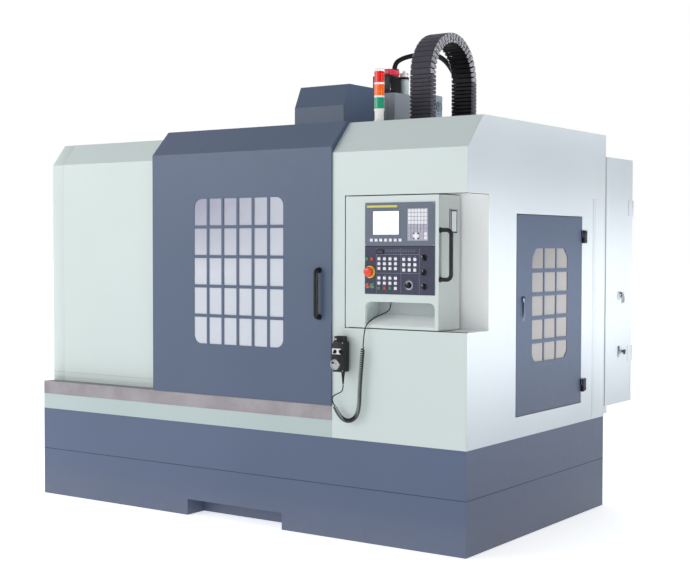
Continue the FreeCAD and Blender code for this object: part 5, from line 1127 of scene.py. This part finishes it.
def rotary(name, x, z, r, depth, face, body, node=None, spin=0.0):
    """Rotary switch: round skirt, a finger bar with pinched sides and a white pointer line. It is
    modelled round the frame's y axis, which its place then shifts and turns."""
    skirt = turned(name, [(r, 0.4), (r, 2.4), (r * 0.9, 4.6), (r * 0.55, 5)], BLACK, 32)
    place(skirt, "front", 0, MIDDLE_Y, 0)
    tip = MIDDLE_Y - depth
    bar = slab("bar", (-r * 0.34, r * 0.34), (tip, MIDDLE_Y - 4), (-r * 0.92, r * 0.95), BLACK)
    round_off(taper(bar, (0, -1, 0), (0.6, 1, 0.94), at(0, tip, 0)), r * 0.09, 2)
    line = slab("pointer", (-0.6, 0.6), (tip - 0.4, tip + 0.6), (r * 0.2, r * 0.86), KEY)
    knob = join(name, skirt, bar, line)
    turn = Matrix.Rotation(math.radians(spin), 4, "Y")
    knob.data.transform(Matrix.Translation(at(x, face, z)) @ turn)
    fit(knob, body, "black_plastic", *([node] if node else []))


def rotary_controls():
    """Three small rotary switches, and the large feed override on its grey dial."""
    for name, spin in (("mode", -40), ("rapid", 20), ("speed", -20)):
        rotary(name + "_switch", *DIALS[name], 15, 17, FACE, name, name + "_knob", spin)
    x, z = DIALS["feed"]
    dial = turned("feed_dial", [(22, 0.4), (22, 2.4), (20.5, 3.8), (16, 4)], KEY_GREY, 48)
    grip = turned("feed_grip", [(15.5, 3.6), (15.5, 6), (14.6, 8), (14, 17), (12, 20), (8, 20.6)],
                  BLACK, 48)
    flute(grip, 5, 18, 0.07)
    line = slab("pointer", (x - 0.7, x + 0.7), (FACE - 21, FACE - 20), (z + 4, z + 12), KEY)
    place(dial, "front", x, FACE, z)
    place(grip, "front", x, FACE, z)
    knob = join("feed_override", dial, grip, line)
    fit(knob, "override", "black_plastic", "override_knob")


def meter():
    """Small black load meter with its window sunk in a raised rim."""
    case = slab("load_meter", (906.5, 945.5), (FACE - 4.6, FACE + 0.3), (1393.6, 1414.6), BLACK, 1.2)
    fit(raise_face(case, (0, -1, 0), 2.4, -1), "station", "black_plastic")


def box_fittings():
    """Side sheet in a darker grey that paints the shade on the box's right side, tray lining with a floor
    whose pure white is partly painted light, the cord's gland, the port with its cover, and the pull
    handle.
    """
    # painted shade: a thin grey sheet over the box's right side, darker than its pale paint
    side = strip("box_side_painted_shade", (1245.6, 1246.7), (1, 194), (1041, 1669), PAINTED_SHADE_GREY, 0.4)
    fit(side, "station", "pale_paint")
    back = slab("tray_back", TRAY_X, (117.5, 119.5), (1058, 1164), LINER, 0.6)
    fit(raise_face(back, (0, -1, 0), 6, -0.8), "station", "pale_paint")
    # the tray floor's pure white is partly painted light: it stands in for the strong light from above
    # and in front
    scoop = slab("tray_scoop", TRAY_X, (3, 117), (1056.2, 1057.6), WHITE_PAINTED_LIGHT)
    back_edge = at(0, 117, 0).y
    pick(scoop, "EDGE", lambda e: all(abs(v.co.y - back_edge) < 1e-5 and v.co.z > 1.057
                                      for v in e.verts))
    bpy.ops.transform.translate(value=(0, 0, 0.044))
    close_edit()
    fit(round_off(scoop, 0.5, 2), "station", "pale_paint")
    gland = turned("tray_gland", [(9.5, 0), (9.5, 5), (8, 6.5), (6.2, 7), (5.4, 10), (3.2, 11)],
                   BLACK, 24)
    fit(place(gland, "down", *TAIL_ROUTE[-1][:2], 1165), "station", "black_plastic")
    port = slab("port_frame", (BOX_X, 1254.6), (94.5, 160.5), (1489.5, 1605.5), KEY_DARK, 4, 3)
    fit(raise_face(port, (1, 0, 0), 7, -2.2), "station", "black_plastic")
    cover = slab("port_cover", (1250, 1254), (103, 152), (1499, 1596), LINER, 2)
    fit(raise_face(cover, (1, 0, 0), 4, 0.8), "station", "pale_paint")
    handle = bow_handle("box_pull", "right", (BOX_X, 14, 1277), (59, 0, 0), 229, 24, 20,
                        [(13.5, 0), (13.5, 2.4), (12, 3.6), (10, 3.6)])
    fit(handle, "station", "black_plastic", "box_handle")


# ---------------------------------------------------------------- pendant
CASE_FACE = -62


def pendant_case():
    """Hand pendant: two black half shells with a joint line, a crown, a bare white band and screws."""
    front = slab("shell", (687, 757), (CASE_FACE, -40.4), (825, 972), BLACK)
    back = slab("shell", (687, 757), (-39.6, -16), (825, 972), BLACK)
    joint = slab("joint", (688, 756), (-41, -39), (826, 971), SEAL, 2)
    for shell in (front, back):
        bevel_edges(shell, lambda e: abs(e.verts[0].co.y - e.verts[1].co.y) > 0.01, 6, 4)
        round_off(shell, 1.4, 2)
    crown = slab("crown", (695, 751), (-56, -20), (960, 998), BLACK, 6, 3)
    hook = slab("hook", (699, 745), (-16, 0), (865, 964), KEY_DARK, 2)
    fit(join("pendant_case", front, back, joint, crown, hook), "frame", "black_plastic", "pendant")
    band = slab("pendant_band", (689.5, 739), (-62.8, -61.6), (910, 938), KEY, 0.6)
    fit(raise_face(band, (0, -1, 0), 1, -0.2), "frame", "white_keys")
    ridge = strip("pendant_ridges", (703, 743), (-57, -54), (976, 978.4), BLACK, 0.8)
    ridges = copies(ridge, "pendant_ridges", moved(*[(0, 0, 5 * i) for i in range(4)]))
    fit(ridges, "frame", "black_plastic")
    lamp = turned("pendant_lamp", [(7, -2), (7, 2), (6, 4), (4, 5.4), (2, 6)], CHROME, 28)
    fit(place(lamp, "front", 708, -56, 983), "frame", "chrome_trim")
    points = [(x, CASE_FACE, z) for x in (693, 751) for z in (831, 966)]
    screws("pendant_screws", 2.8, "front", points, GROUND, "frame", "ground_steel")
    boot = turned("pendant_boot", [(10, 2), (10, -4), (8.4, -8), (9, -10), (7.6, -14), (8.2, -16),
                                   (6.8, -21), (7.4, -23), (6, -29), (6.5, -31), (5.2, -38),
                                   (5.6, -40), (4.4, -50), (4.2, -58)], BLACK, 24)
    fit(place(boot, "up", *LEAD_ROUTE[0][:2], 825), "frame", "black_plastic")


def pendant_controls():
    """Chromed pulse wheel with a knurled rim, a dial ring and its crank knob; two selectors."""
    x, z = 713, 861
    rim = turned("pulse_wheel", [(23, 0.6), (25.8, 2), (26, 4), (26, 12), (24.6, 14), (21, 14),
                                 (19.6, 11.4), (9, 11), (8, 13), (3, 13.4)], GROUND, 72)
    flute(rim, 3, 13, 0.03)
    place(rim, "front", x, CASE_FACE, z)
    crank = turned("crank", [(4.4, 11), (4.4, 13), (3.4, 14.5), (4.2, 20), (2.6, 22)], BLACK, 24)
    place(crank, "front", x - 11.7, CASE_FACE, z + 7.8)
    fit(join("pulse_wheel", rim, crank), "wheel", "chrome_trim", "handwheel")
    dial = turned("pulse_dial", [(28.5, 0), (28.5, 0.7), (28, 1)], KEY_DARK, 48)
    fit(place(dial, "front", x, CASE_FACE, z), "frame", "black_plastic")
    rotary("axis_switch", 706, 923, 10, 14, CASE_FACE, "selector", "axis_selector", 25)
    rotary("range_switch", 740, 923, 10, 14, CASE_FACE, "frame", None, -30)


cable_carrier()
head_motor()
booster()
junction_flange()
signal_tower()
enclosure_trim()
door_fittings()
side_window_bars()
side_hinges()
side_latch()
cabinet_fittings()
keys()
display_front()
panel_print()
press_controls()
rotary_controls()
meter()
box_fittings()
pendant_case()
pendant_controls()


# ---------------------------------------------------------------- studio
def softbox(name, place_at, aim, size, power, colour, spread=180):
    """Rectangular soft light at a point, aimed at another, with its spread in degrees."""
    bpy.ops.object.light_add(type="AREA", location=place_at)
    lamp = bpy.context.object
    lamp.name = name
    lamp.data.shape = "RECTANGLE"
    lamp.data.size, lamp.data.size_y = size
    lamp.data.energy = power
    lamp.data.color = colour
    lamp.data.spread = math.radians(spread)
    lamp.rotation_euler = (Vector(aim) - Vector(place_at)).to_track_quat("-Z", "Y").to_euler()


def studio():
    """White paper floor, a surround that is bright all round the horizon and dimmer overhead and to the
    right, one soft light in front, and two that sweep the right side and what stands over the roof."""
    bpy.ops.mesh.primitive_plane_add(size=160, location=(0, 0, -0.001))
    floor = bpy.context.object
    floor.name = "studio_floor"
    paper, tree, shader, place_on = blank("white_paper")
    grain = add(tree, "TexNoise", {"Vector": place_on, "Scale": per(400), "Detail": 2.0})
    tone = add(tree, "Mix", {"Factor": grain, "A": "FFFFFF", "B": "F8F8F8"}, data_type="RGBA")
    feed(tree, shader, {"Base Color": tone, "Roughness": 0.9, "Emission Color": "FFFFFF",
                        "Emission Strength": 0.66})
    floor.data.materials.append(paper)
    world = bpy.data.worlds.new("studio")
    bpy.context.scene.world = world
    world.use_nodes = True
    sky = world.node_tree
    way = add(sky, "TexCoord", output="Generated")
    height = add(sky, "SeparateXYZ", {"Vector": way}, "Z")
    up = add(sky, "MapRange", {"Value": height, "From Min": 0.22, "From Max": 0.9})
    side = add(sky, "SeparateXYZ", {"Vector": way}, "X")
    right = add(sky, "MapRange", {"Value": side, "From Min": 0.0, "From Max": 0.7})
    tone = add(sky, "Mix", {"Factor": up, "A": "FFFFFF", "B": "C0C4CA"}, data_type="RGBA")
    tone = add(sky, "Mix", {"Factor": right, "A": tone, "B": "4A4E54"}, data_type="RGBA")
    sky.links.new(tone, sky.nodes["Background"].inputs["Color"])
    softbox("front_softbox", (-4.5, -6.5, 3.4), (-0.4, 0, 1.1), (4, 3), 98, (1.0, 1.0, 0.98))
    softbox("right_softbox", (7.0, 0.1, 1.4), (1.4, 0.1, 1.18), (3.2, 0.6), 7, (1.0, 1.0, 0.99), 16)
    softbox("top_softbox", (7.0, 0.0, 2.15), (0.0, 0.0, 2.6), (2.6, 0.4), 5.2, (1.0, 1.0, 1.0), 13)
    bpy.context.scene.view_settings.view_transform = "Standard"


studio()
